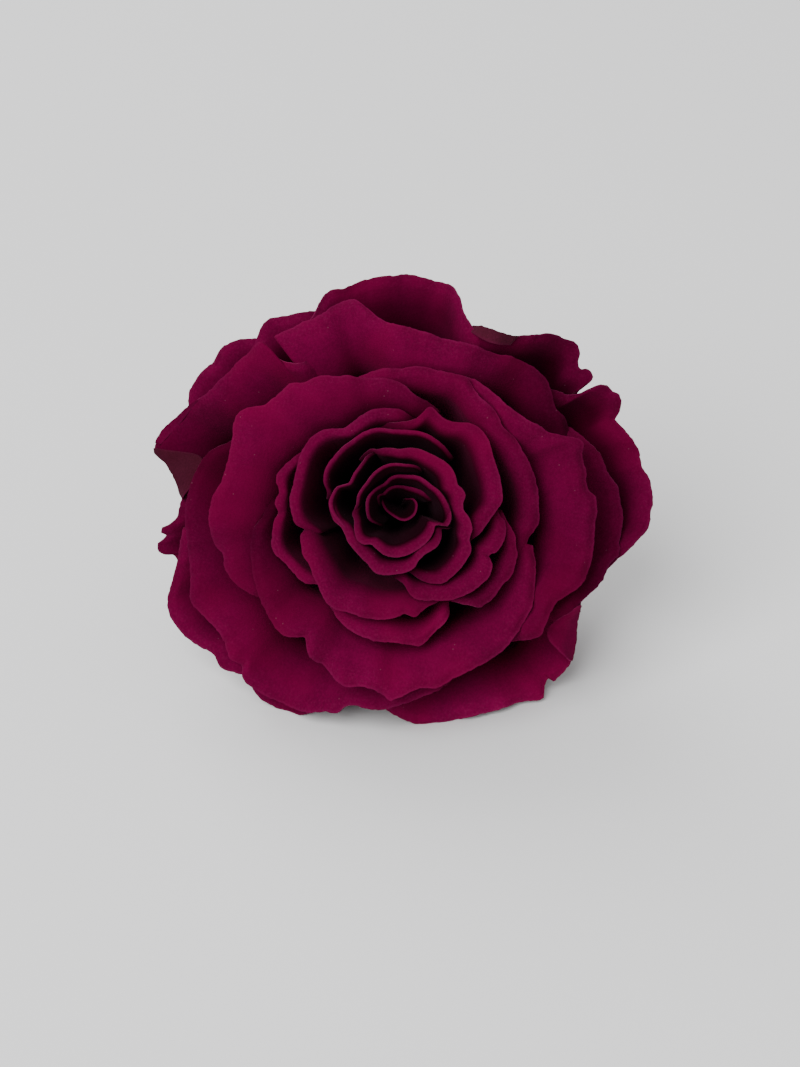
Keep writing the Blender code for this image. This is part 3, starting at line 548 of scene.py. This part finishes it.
def shaded(colour, factor):
    """The colour made darker or lighter by a factor, with an alpha of one."""
    return tuple(min(channel * factor, 1) for channel in colour) + (1.0,)


def velvet(name, colour, rim_colour, sheen, tint):
    """Velvety petal: mottled and dusty, with fine veins, a paler line along its rim and a soft sheen."""
    graph = NodeGraph(name)
    place = graph.position()
    from_rim = graph.attribute("from_rim")

    mottle = graph.patches(place, *MOTTLE)
    tone = graph.mix(mottle, *(shaded(colour, factor) for factor in MOTTLE_TONES))
    tone = graph.over(tone, graph.patches(place, *GRAIN), GRAIN_SHARE, shaded(colour, GRAIN_TONE))
    edge = graph.remap(from_rim, 0.0, EDGE_WIDTH, 1.0, 0.0)
    tone = graph.over(tone, edge, EDGE_SHARE, shaded(rim_colour, 1))
    near_rim = graph.remap(from_rim, *FUZZ_FROM_RIM, *FUZZ_SHARES)
    tone = graph.over(tone, graph.patches(place, *FUZZ), near_rim, shaded(FUZZ_COLOUR, 1))
    redder = shaded((colour[0], colour[1], CLOUD_BLUE * colour[2]), CLOUD_TONE)
    tone = graph.over(tone, graph.patches(place, *CLOUDS), CLOUD_SHARE, redder)
    # Scaled by each point's tone: the petal's own tone with its painted shade and painted light
    tone = graph.scaled(tone, graph.attribute("tone"))

    dots = graph.add("ShaderNodeTexVoronoi", Scale=DUST_SCALE)
    graph.link(place, dots.inputs["Vector"])
    dust = graph.remap(dots.outputs["Distance"], *DUST_SIZE, DUST_SHARE, 0.0)
    tone = graph.mix(dust, tone, shaded(DUST_COLOUR, 1))
    graph.link(tone, graph.shader.inputs["Base Color"])

    veins = graph.add("ShaderNodeTexWave", bands_direction="X", **VEINS)
    graph.link(graph.add("ShaderNodeUVMap", uv_map="petal").outputs["UV"], veins.inputs["Vector"])
    veins_height = graph.combine("MULTIPLY", veins.outputs["Fac"], VEIN_RELIEF)
    graph.bump(graph.combine("ADD", veins_height, graph.noise(place, *SKIN)), *PETAL_BUMP)
    graph.finish(PETAL_FINISH)
    graph.finish({"Sheen Weight": sheen, "Sheen Tint": tint})
    return graph.material


def dried(name, colour, ridge_scale):
    """Dried bark or leaf: blotched and flecked, with fine wrinkles."""
    graph = NodeGraph(name)
    place = graph.position()
    blotches = graph.patches(place, *BLOTCHES)
    tone = graph.mix(blotches, *(shaded(colour, factor) for factor in BLOTCH_TONES))
    tone = graph.over(tone, graph.patches(place, *FLECKS), FLECK_SHARE, shaded(colour, FLECK_TONE))
    graph.link(tone, graph.shader.inputs["Base Color"])
    ridges = graph.noise(place, ridge_scale, *RIDGE_DETAIL)
    wrinkles = graph.noise(place, WRINKLES_TO_RIDGES * ridge_scale, WRINKLE_DETAIL)
    graph.bump(graph.combine("ADD", ridges, wrinkles), *DRIED_BUMP)
    graph.finish(DRIED_FINISH)
    return graph.material


def looks():
    """The petal materials, made once: face, back and rim."""
    colours = bpy.context.scene.rose_colours
    for name, colour in zip(SHEENS, (colours.face, colours.back, colours.rim)):
        if name not in bpy.data.materials:
            velvet(name, colour, colours.rim, *SHEENS[name])
    return [bpy.data.materials[name] for name in SHEENS]


def to_world(u, v, w):
    """Points of the rose's own frame, in millimetres, as metres in the world."""
    rise, lean = math.sin(AXIS_RISE), math.cos(AXIS_RISE)
    back = v * rise - w * lean - MIDDLE_SHIFT
    up = v * lean + w * rise + ORIGIN_HEIGHT
    return np.stack([u + SIDE_SHIFT, back, up], axis=-1) * MM


def around(angle, radius, height):
    """Points given by angle in degrees, radius from the axis and height, in the world."""
    turn = np.radians(angle)
    return to_world(radius * np.cos(turn), radius * np.sin(turn), height)


def true_radius(seen, height):
    return seen * (1 - (height - MEAN_HEIGHT) / VIEW_DISTANCE)


def below_throat(wall, throat_height, share):
    """Radius and height on the curve from a petal's root, at share 0, to its lip's throat, at share 1."""
    root = np.minimum(ROOT_SHARE * wall, DEEPEST_ROOT)
    root_height = np.interp(wall, (WALLS[0], WALLS[-1]), ROOT_HEIGHTS)
    reach, rise = FULLNESS * (wall - root), FULLNESS * (throat_height - root_height)
    way_out = (root, root + reach, wall - rise * math.sin(LEAN), wall)
    way_up = (root_height, root_height, throat_height - rise * math.cos(LEAN), throat_height)
    parts = ((1 - share) ** 3, 3 * share * (1 - share) ** 2, 3 * share**2 * (1 - share), share**3)
    return tuple(sum(part * point for part, point in zip(parts, line)) for line in (way_out, way_up))


def along_lip(wall, lip, fall, angle, seen, share):
    """Radius, height, lean and way left on a lip from its throat, at share 0, to its rim, at share 1."""
    height = np.interp(wall, WALLS, LIPS)
    bend = np.minimum(np.interp(wall, BEND_WALLS, BEND_SHARES) * lip, MOST_BEND)
    droop = np.radians(fall + np.interp(wall, WALLS, TILTS) * np.sin(np.radians(angle)))
    run = np.maximum(true_radius(seen, height) - wall, LEAST_LIP)
    whole_turn = math.pi / 2 + droop
    whole_run = bend * (math.cos(LEAN) - np.cos(whole_turn))
    turn = np.where(run < whole_run, np.arccos(np.clip(math.cos(LEAN) - run / bend, -1, 1)), whole_turn)
    straight = np.maximum(run - whole_run, 0) / np.cos(droop)
    length = bend * (turn - LEAN) + straight
    way = share * length
    bent = np.minimum(LEAN + way / bend, turn)
    rest = np.maximum(way - bend * (turn - LEAN), 0)
    radius = wall + bend * (math.cos(LEAN) - np.cos(bent)) + rest * np.cos(droop)
    return radius, height - bend * (1 - np.sin(bent)) - rest * np.sin(droop), bent, length - way


def smoothed(values, width):
    """The running mean of the values, with their ends held."""
    ends = [values[0]] * (width // 2), [values[-1]] * (width // 2)
    return np.convolve(np.concatenate([ends[0], values, ends[1]]), np.full(width, 1 / width), "valid")


def nested_walls():
    """Each petal's wall radius, degree by degree: its rim less its lip, clear of the petals inside it."""
    taken = np.zeros(360)
    walls = {}
    for group in (HEART_PETALS, RING_PETALS, BROAD_PETALS, OUTER_PETALS, GUARD_PETALS):
        for name, (lips, _, rim) in group.items():
            angles = np.arange(rim[0][0], rim[-1][0] + 1).astype(int)
            line, _ = smooth_line(rim, len(angles))
            seen = np.interp(angles, line[:, 0], line[:, 1])
            lip = np.interp(np.linspace(0, 1, len(angles)), THREE_PLACES, lips)
            inside = taken[angles % 360] + NEST_GAP
            base = smoothed(true_radius(seen, np.interp(seen - lip, WALLS, LIPS)), NEST_SMOOTHING) - lip
            wall = smoothed(np.maximum(base, inside), NEST_SMOOTHING)
            wall = np.maximum(np.maximum(wall, inside), WALLS[0])
            taken[angles % 360] = wall
            walls[name] = (angles, smoothed(wall, WALL_SMOOTHING))
    return walls


def spans_between(points):
    """The lengths between points given as (degrees, millimetres)."""
    across = np.radians(np.diff(points[:, 0])) * (points[1:, 1] + points[:-1, 1]) / 2
    return np.hypot(across, np.diff(points[:, 1]))


def smooth_line(stations, count):
    """Points evenly spaced by length on a smooth curve through stations, and how far along each one is."""
    points = np.array(stations, float)
    spans = spans_between(points)
    ways = np.concatenate([[0], np.cumsum(spans)])
    slopes = np.gradient(points, ways, axis=0)
    way = np.linspace(0, ways[-1], count)
    i = np.clip(np.searchsorted(ways, way, side="right") - 1, 0, len(spans) - 1)
    share = ((way - ways[i]) / spans[i])[:, None]
    span = spans[i][:, None]
    first = 2 * share**3 - 3 * share**2 + 1
    leaving = (share**3 - 2 * share**2 + share) * span
    arriving = (share**3 - share**2) * span
    line = first * points[i] + (1 - first) * points[i + 1] + leaving * slopes[i] + arriving * slopes[i + 1]
    return line, way


def place_across(angle, rim):
    """Where an angle lies on a petal, from 0 at its first side to 1 at its last."""
    return np.clip((angle - rim[0][0]) / (rim[-1][0] - rim[0][0]), 0, 1)


def near_ends(place):
    """How near to a petal's ends its columns are: 1 at both ends and 0 at its middle."""
    return (1 - np.sin(math.pi * place)) ** END_NARROWNESS


def waves(way, lengths, draw):
    """A sum of sine waves of these lengths along a way, with drawn phases, between about -1 and 1."""
    total = np.zeros_like(way)
    for length in lengths:
        stretch = length * draw.uniform(*WAVE_STRETCH)
        total = total + np.sin(2 * math.pi * way / stretch + draw.uniform(0, 2 * math.pi))
    return total / len(lengths)


def eased(value, low, high):
    """How far the value is from low to high, between 0 and 1, with soft ends."""
    share = np.clip((value - low) / (high - low), 0, 1)
    return share * share * (3 - 2 * share)


def between(ends, share):
    return ends[0] + (ends[1] - ends[0]) * share


def length_along(steps, axis):
    """The way gone along a row of points, from the steps between them."""
    return np.cumsum(np.linalg.norm(steps, axis=-1), axis=axis) / MM


def sheet(name, points, least_height):
    """A mesh of quads through a grid of points (columns, rows, 3), with a map of the lengths along it."""
    columns, rows = points.shape[:2]
    places = points.reshape(-1, 3).copy()
    places[:, 2] = np.maximum(places[:, 2], least_height)
    index = np.arange(columns * rows).reshape(columns, rows)
    quads = np.stack([index[:-1, :-1], index[:-1, 1:], index[1:, 1:], index[1:, :-1]], axis=-1).reshape(-1, 4)
    mesh = bpy.data.meshes.new(name)
    mesh.from_pydata(places.tolist(), [], quads.tolist())
    across = np.concatenate([[0], length_along(np.diff(points[:, -1], axis=0), 0)])
    along = np.concatenate([np.zeros((columns, 1)), length_along(np.diff(points, axis=1), 1)], axis=1)
    flat = np.stack([np.broadcast_to(across[:, None], along.shape), along], axis=-1).reshape(-1, 2)
    uv = mesh.uv_layers.new(name="petal")
    uv.data.foreach_set("uv", flat[quads.ravel()].astype(np.float32).ravel())
    mesh.shade_smooth()
    return mesh


def thicken(made, thickness, from_rim):
    """Gives a sheet its thickness, less towards its rim."""
    body = made.vertex_groups.new(name="body")
    depth = np.clip(from_rim.ravel() / RIM_TAPER, 0, 1)
    for step in range(TAPER_STEPS + 1):
        chosen = np.flatnonzero(np.round(depth * TAPER_STEPS) == step)
        body.add(chosen.tolist(), step / TAPER_STEPS, "REPLACE")
    solid = made.modifiers.new("Thickness", "SOLIDIFY")
    solid.thickness = thickness
    solid.offset = 0
    solid.vertex_group = "body"
    solid.thickness_vertex_group = RIM_THINNESS
    if len(made.data.materials) > 1:
        solid.material_offset = 1
        solid.material_offset_rim = 2


def blade(name, points, from_rim, thickness, materials, slot, tone=1.0):
    """A thin body about a grid of points, with finishes for its face, back and rim, or one for all."""
    mesh = sheet(name, points, thickness / 2)
    # The tone attribute holds how light each point is painted, painted shade and painted light included
    for attribute, values in (("from_rim", from_rim), ("tone", np.broadcast_to(tone, from_rim.shape))):
        layer = mesh.attributes.new(attribute, "FLOAT", "POINT")
        layer.data.foreach_set("value", values.astype(np.float32).ravel())
    for material in materials:
        mesh.materials.append(material)
    made = bpy.data.objects.new(name, mesh)
    bpy.context.scene.collection.objects.link(made)
    thicken(made, thickness, from_rim)
    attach(made, "root")
    return made


def petal_waves(way, breadth, draw):
    """The waves of a petal along its rim: how far it is nibbled, ruffled, creased and rolled back."""
    sizes = bpy.context.scene.rose_sizes
    uneven = waves(way, NIBBLE_WAVES, draw) + FINE_NIBBLE_SHARE * waves(way, FINE_NIBBLE_WAVES, draw)
    nibble = sizes.nibble / MM * between(NIBBLE_SHARES, breadth) * uneven
    ruffle = sizes.ruffle / MM * between(RUFFLE_SHARES, breadth) * waves(way, RUFFLE_WAVES, draw)
    crease = CREASE_HEIGHT * between(CREASE_SHARES, breadth) * waves(way, CREASE_WAVES, draw)
    uneven_roll = 1 + ROLL_SWING * waves(way, ROLL_WAVES, draw)
    return nibble, ruffle, crease, sizes.roll / MM * between(ROLL_SHARES, breadth) * uneven_roll


def petal_points(walls, lips, fall, rim, seed):
    """A petal's points from root to waved rim, their ways to it, and its columns' angles, walls and lips."""
    draw = np.random.default_rng(seed)
    length = spans_between(np.array(rim, float)).sum()
    line, way = smooth_line(rim, max(int(length / COLUMN_STEP), FEWEST_COLUMNS))
    angle, seen = line[:, 0], line[:, 1]
    wall = np.interp(angle, *walls)
    place = place_across(angle, rim)
    lip = np.interp(place, THREE_PLACES, lips)
    nibble, ruffle, crease, curl = petal_waves(way, eased(wall, *BREADTH_WALLS), draw)
    seen = seen + nibble

    drop = END_DROP * near_ends(place)
    throat, throat_height, _, _ = along_lip(wall, lip, fall, angle, seen, 0)
    middle_angle = (rim[0][0] + rim[-1][0]) / 2
    narrowing = np.interp(walls[1].mean(), NARROWING_WALLS, (1, ROOT_NARROWING))
    radii, heights, angles, distances = [], [], [], []
    for share in np.linspace(0, 1, BOWL_ROWS, endpoint=False):
        radius, height = below_throat(throat, throat_height - drop, share)
        angles.append(middle_angle + (angle - middle_angle) * (narrowing + (1 - narrowing) * share))
        radii.append(radius)
        heights.append(height + THROAT_RUFFLE * ruffle * share**2)
        distances.append(np.full_like(angle, FAR_FROM_RIM))
    for share in 1 - (1 - np.linspace(0, 1, LIP_ROWS + 1)) ** LIP_ROW_CROWDING:
        radius, height, lean, left = along_lip(wall, lip, fall, angle, seen, share)
        waved = ruffle * between((THROAT_RUFFLE, 1), share**2) + crease * share**2
        lift = waved - curl * eased(left, ROLL_REACH, 0)
        angles.append(angle)
        radii.append(radius - lift * np.cos(lean) * share)
        heights.append(height + lift * np.sin(lean) - drop)
        distances.append(left)
    grid = around(np.stack(angles, 1), np.stack(radii, 1), np.stack(heights, 1))
    return grid, np.stack(distances, 1), angle, wall, lip


def petal_tones_and_painted_shade(name, rim, from_rim, angle, wall, lip):
    """A petal's tone at each point, with painted shade below its lip, at the heart's petal ends and on the
    guard petals.
    """
    place = place_across(angle, rim)
    in_heart = eased(wall, *HEART_WALLS)
    sides = np.interp(place, THREE_PLACES, TONES_AND_PAINTED_LIGHT.get(name, PLAIN_TONES))
    # Painted shade at the ends of the heart's petals
    sides = sides * (1 - END_SHADE * in_heart * near_ends(place))
    heart = HEART_SHADE * in_heart
    at_top = np.clip(np.sin(np.radians(angle)), 0, 1) ** TOP_NARROWNESS
    top = (1 - heart) * TOP_SHADES.get(name, 0) * at_top
    depth = from_rim / lip[:, None]
    depth[:, :BOWL_ROWS] = np.inf
    # Painted shade below the lip, in the heart and at the top of the face
    lost = heart[:, None] * eased(depth, *SHADED_LIPS) + top[:, None] * eased(depth, *SHADED_TOPS)
    tones = sides[:, None] * (1 - lost)
    # Painted shade on the guard petals, away from their rims
    if name in GUARD_PETALS:
        tones = tones - GUARD_SHADE * eased(from_rim, *GUARD_FROM_RIM)
    return tones


def make_petals(petals, first_seed):
    """Makes each petal of a group, with the tips that fold over from its rim."""
    thickness = bpy.context.scene.rose_sizes.blade
    walls = nested_walls()
    for number, (name, (lips, fall, rim)) in enumerate(petals.items()):
        points, from_rim, angle, wall, lip = petal_points(walls[name], lips, fall, rim, first_seed + number)
        tones = petal_tones_and_painted_shade(name, rim, from_rim, angle, wall, lip)
        made = blade("petal_" + name, points, from_rim, thickness, looks(), "petal", tones)
        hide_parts("bloom")
        for tip, (owner, fold, lift, free) in FOLDED_TIPS.items():
            if owner == name:
                folded = (angle >= fold[0]) & (angle <= fold[1])
                place = place_across(np.mean(fold), rim)
                # The folded tip takes its petal's tone at the fold, with that petal's painted shade and
                # painted light
                tone = np.interp(place, THREE_PLACES, TONES_AND_PAINTED_LIGHT.get(name, PLAIN_TONES))
                make_tip(tip, points[folded, -1], lift, free, tone)


def make_tip(name, start, lift, free, tone):
    """A tip bent over to the front, from the fold on the petal's rim to its free edge."""
    end, _ = smooth_line(free, len(start))
    rise, lean = math.sin(AXIS_RISE), math.cos(AXIS_RISE)
    axis = np.array([0, -lean, rise])
    height = (start - to_world(0, 0, 0)) @ axis / MM
    stop = around(end[:, 0], true_radius(end[:, 1], height), height)
    share = np.linspace(0, 1, TIP_ROWS)[None, :, None]
    bulge = lift * MM * np.sin(share * math.pi / 2) * axis
    points = start[:, None] + (stop - start)[:, None] * share + bulge
    from_rim = np.linalg.norm(points - points[:, -1:], axis=-1) / MM
    face, back, rim = looks()
    shown = back if name in PALE_TIPS else face
    thickness = bpy.context.scene.rose_sizes.blade
    made = blade("petal_" + name, points, from_rim, thickness, [face, shown, rim], "petal", tone)
    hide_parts("bloom")


def turned(name, outline, material, node, seed):
    """A body turned about the rose's axis from (radius, height) points, with an uneven skin."""
    draw = np.random.default_rng(seed)
    points = np.array(outline, float)
    lengths = np.concatenate([[0], np.cumsum(np.hypot(*np.diff(points, axis=0).T))])
    way = np.linspace(0, lengths[-1], TURNED_ROWS)
    radius = np.interp(way, lengths, points[:, 0])
    height = np.interp(way, lengths, points[:, 1])
    turn = np.linspace(0, 2 * math.pi, TURNED_SIDES, endpoint=False)
    ridges = sum(np.sin(turn * count + draw.uniform(*RIDGE_PHASES)) / count for count in RIDGE_COUNTS)
    radii = radius[None, :] * (1 - TURNED_WOBBLE + TURNED_WOBBLE * ridges[:, None])
    heights = np.broadcast_to(height, radii.shape)
    grid = to_world(radii * np.cos(turn)[:, None], radii * np.sin(turn)[:, None], heights)
    grid[..., 2] = np.maximum(grid[..., 2], 0)
    columns, rows = grid.shape[:2]
    index = np.arange(columns * rows).reshape(columns, rows)
    after = np.roll(index, -1, axis=0)
    quads = np.stack([index[:, :-1], index[:, 1:], after[:, 1:], after[:, :-1]], axis=-1).reshape(-1, 4)
    caps = [index[::-1, -1].tolist(), index[:, 0].tolist()]
    mesh = bpy.data.meshes.new(name)
    mesh.from_pydata(grid.reshape(-1, 3).tolist(), [], quads.tolist() + caps)
    mesh.materials.append(material)
    mesh.shade_smooth()
    made = bpy.data.objects.new(name, mesh)
    bpy.context.scene.collection.objects.link(made)
    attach(made, "root")
    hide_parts(node)


def make_sepal(name, angle, reach, material):
    """A narrow dried leaf from the hip, curved outside the petals, with a raised midrib."""
    sizes = bpy.context.scene.rose_sizes
    root_radius, root_height = SEPAL_ROOT
    bowl_radius, bowl_height = SEPAL_BOWL
    side = np.linspace(-1, 1, SEPAL_COLUMNS)[:, None]
    share = np.linspace(0, 1, SEPAL_ROWS)[None, :]
    radius = root_radius + (reach - root_radius) * share
    turn = np.arcsin(np.minimum((radius - root_radius) / (bowl_radius - root_radius), 1))
    height = bowl_height - (bowl_height - root_height) * np.cos(turn)
    height = height + np.maximum(radius - bowl_radius, 0) * SEPAL_TIP_RISE
    swell = (SEPAL_ROOT_WIDTH * (1 - share) + share * (1 - share)) / SEPAL_SWELL
    half = sizes.sepal_half_width / MM * np.maximum(swell, SEPAL_TIP_WIDTH)
    cup = SEPAL_CUP * side**2 + MIDRIB_HEIGHT * np.exp(-((side / MIDRIB_WIDTH) ** 2))
    points = around(angle + np.degrees(side * half / radius), radius + 0 * side, height + cup)
    from_rim = np.full(points.shape[:2], FAR_FROM_RIM)
    made = blade(name, points, from_rim, sizes.sepal_blade, [material], "calyx")
    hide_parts("calyx")


class ROSE_OT_heart(bpy.types.Operator):
    """Make the rolled bud and the tight petals round it"""

    bl_idname = "rose.heart"
    bl_label = "Heart petals"

    def execute(self, context):
        make_petals(HEART_PETALS, first_seed=100)
        return {"FINISHED"}


class ROSE_OT_ring(bpy.types.Operator):
    """Make the middle ring of petals"""

    bl_idname = "rose.ring"
    bl_label = "Ring petals"

    def execute(self, context):
        make_petals(RING_PETALS, first_seed=200)
        return {"FINISHED"}


class ROSE_OT_broad(bpy.types.Operator):
    """Make the four broad petals outside the ring"""

    bl_idname = "rose.broad"
    bl_label = "Broad petals"

    def execute(self, context):
        make_petals(BROAD_PETALS, first_seed=300)
        return {"FINISHED"}


class ROSE_OT_outer(bpy.types.Operator):
    """Make the outer petals with their folded tips"""

    bl_idname = "rose.outer"
    bl_label = "Outer petals"

    def execute(self, context):
        make_petals(OUTER_PETALS, first_seed=400)
        return {"FINISHED"}


class ROSE_OT_guard(bpy.types.Operator):
    """Make the outermost guard petals"""

    bl_idname = "rose.guard"
    bl_label = "Guard petals"

    def execute(self, context):
        make_petals(GUARD_PETALS, first_seed=500)
        return {"FINISHED"}


class ROSE_OT_core(bpy.types.Operator):
    """Make the closed stack of petal claws at the middle"""

    bl_idname = "rose.core"
    bl_label = "Core"

    def execute(self, context):
        turned("petal_claws", CORE, looks()[1], "bloom", seed=7)
        return {"FINISHED"}


class ROSE_OT_calyx(bpy.types.Operator):
    """Make the hip and its sepals"""

    bl_idname = "rose.calyx"
    bl_label = "Calyx"

    def execute(self, context):
        leaf = dried("dried_calyx", context.scene.rose_colours.calyx, CALYX_RIDGES)
        turned("hip", HIP, leaf, "calyx", seed=11)
        for number, (angle, reach) in enumerate(SEPALS):
            make_sepal(f"sepal_{number}", angle, reach, leaf)
        return {"FINISHED"}


class ROSE_OT_stub(bpy.types.Operator):
    """Make the cut stub of the stem"""

    bl_idname = "rose.stub"
    bl_label = "Stem stub"

    def execute(self, context):
        outline = (
            (ON_AXIS, STUB_TOP), (STUB_RADIUS, STUB_TOP), (STUB_RADIUS, STUB_END), (ON_AXIS, STUB_END))
        bark = dried("stem_bark", context.scene.rose_colours.stem, BARK_RIDGES)
        turned("stub", outline, bark, "stem_stub", seed=13)
        return {"FINISHED"}


class ROSE_OT_stage(bpy.types.Operator):
    """Make the floor, the soft lights and the camera"""

    bl_idname = "rose.stage"
    bl_label = "Stage"

    def execute(self, context):
        bpy.ops.mesh.primitive_plane_add(size=FLOOR_SIZE)
        floor = context.active_object
        floor.name = "floor"
        graph = NodeGraph("pale_floor")
        graph.finish({"Base Color": shaded(context.scene.rose_colours.floor, 1)})
        graph.finish(FLOOR_FINISH)
        floor.data.materials.append(graph.material)
        world = bpy.data.worlds.new("soft_room")
        world.use_nodes = True
        sky = world.node_tree.nodes["Background"].inputs
        sky["Color"].default_value = (1, 1, 1, 1)
        sky["Strength"].default_value = ROOM_LIGHT
        context.scene.world = world
        for name, (place, size, power) in LIGHTS.items():
            add_light(name, place, size, power)
        add_camera()
        return {"FINISHED"}


def add_light(name, place, size, power):
    """A square soft light that looks at the rose."""
    lamp = bpy.data.lights.new(name, "AREA")
    lamp.size = size
    lamp.energy = power
    made = bpy.data.objects.new(name, lamp)
    made.location = place
    bpy.context.scene.collection.objects.link(made)
    way = Vector(LIGHTS_AIM) - Vector(place)
    made.rotation_euler = way.to_track_quat("-Z", "Y").to_euler()


def add_camera():
    """A long lens that looks straight down the rose's axis, placed so that the heart falls on its pixel."""
    scale = ROSE_WIDTH_PIXELS / ROSE_WIDTH * VIEW_DISTANCE / (VIEW_DISTANCE - (HEART_HEIGHT - MEAN_HEIGHT))
    aside = (PHOTO_WIDTH / 2 - HEART_PIXEL[0]) / scale
    below = (HEART_PIXEL[1] - PHOTO_HEIGHT / 2) / scale
    lens = bpy.data.cameras.new("camera")
    lens.sensor_width = SENSOR
    lens.lens = SENSOR * VIEW_DISTANCE / (PHOTO_HEIGHT * ROSE_WIDTH / ROSE_WIDTH_PIXELS)
    lens.clip_start = NEAREST_SEEN
    made = bpy.data.objects.new("camera", lens)
    made.location = to_world(aside, below, MEAN_HEIGHT + VIEW_DISTANCE)
    made.rotation_euler = (math.pi / 2 - AXIS_RISE, 0, 0)
    bpy.context.scene.collection.objects.link(made)
    bpy.context.scene.camera = made


class ROSE_PT_panel(bpy.types.Panel):
    """Lists the rose's sizes, colours and pieces"""

    bl_idname = "ROSE_PT_panel"
    bl_label = "Preserved rose"
    bl_space_type = "VIEW_3D"
    bl_region_type = "UI"
    bl_category = "Rose"

    def draw(self, context):
        layout = self.layout
        for group in (context.scene.rose_sizes, context.scene.rose_colours):
            box = layout.box()
            for key in group.__annotations__:
                box.prop(group, key)
        for operator in OPERATORS:
            layout.operator(operator.bl_idname)


OPERATORS = (
    ROSE_OT_heart, ROSE_OT_ring, ROSE_OT_broad, ROSE_OT_outer, ROSE_OT_guard, ROSE_OT_core, ROSE_OT_calyx,
    ROSE_OT_stub, ROSE_OT_stage)
CLASSES = (RoseSizes, RoseColours, *OPERATORS, ROSE_PT_panel)


def register():
    for made in CLASSES:
        bpy.utils.register_class(made)
    bpy.types.Scene.rose_sizes = PointerProperty(type=RoseSizes)
    bpy.types.Scene.rose_colours = PointerProperty(type=RoseColours)


def unregister():
    del bpy.types.Scene.rose_sizes
    del bpy.types.Scene.rose_colours
    for made in reversed(CLASSES):
        bpy.utils.unregister_class(made)


def main():
    register()
    for operator in OPERATORS:
        area, name = operator.bl_idname.split(".")
        getattr(getattr(bpy.ops, area), name)()


if __name__ == "__main__":
    main()
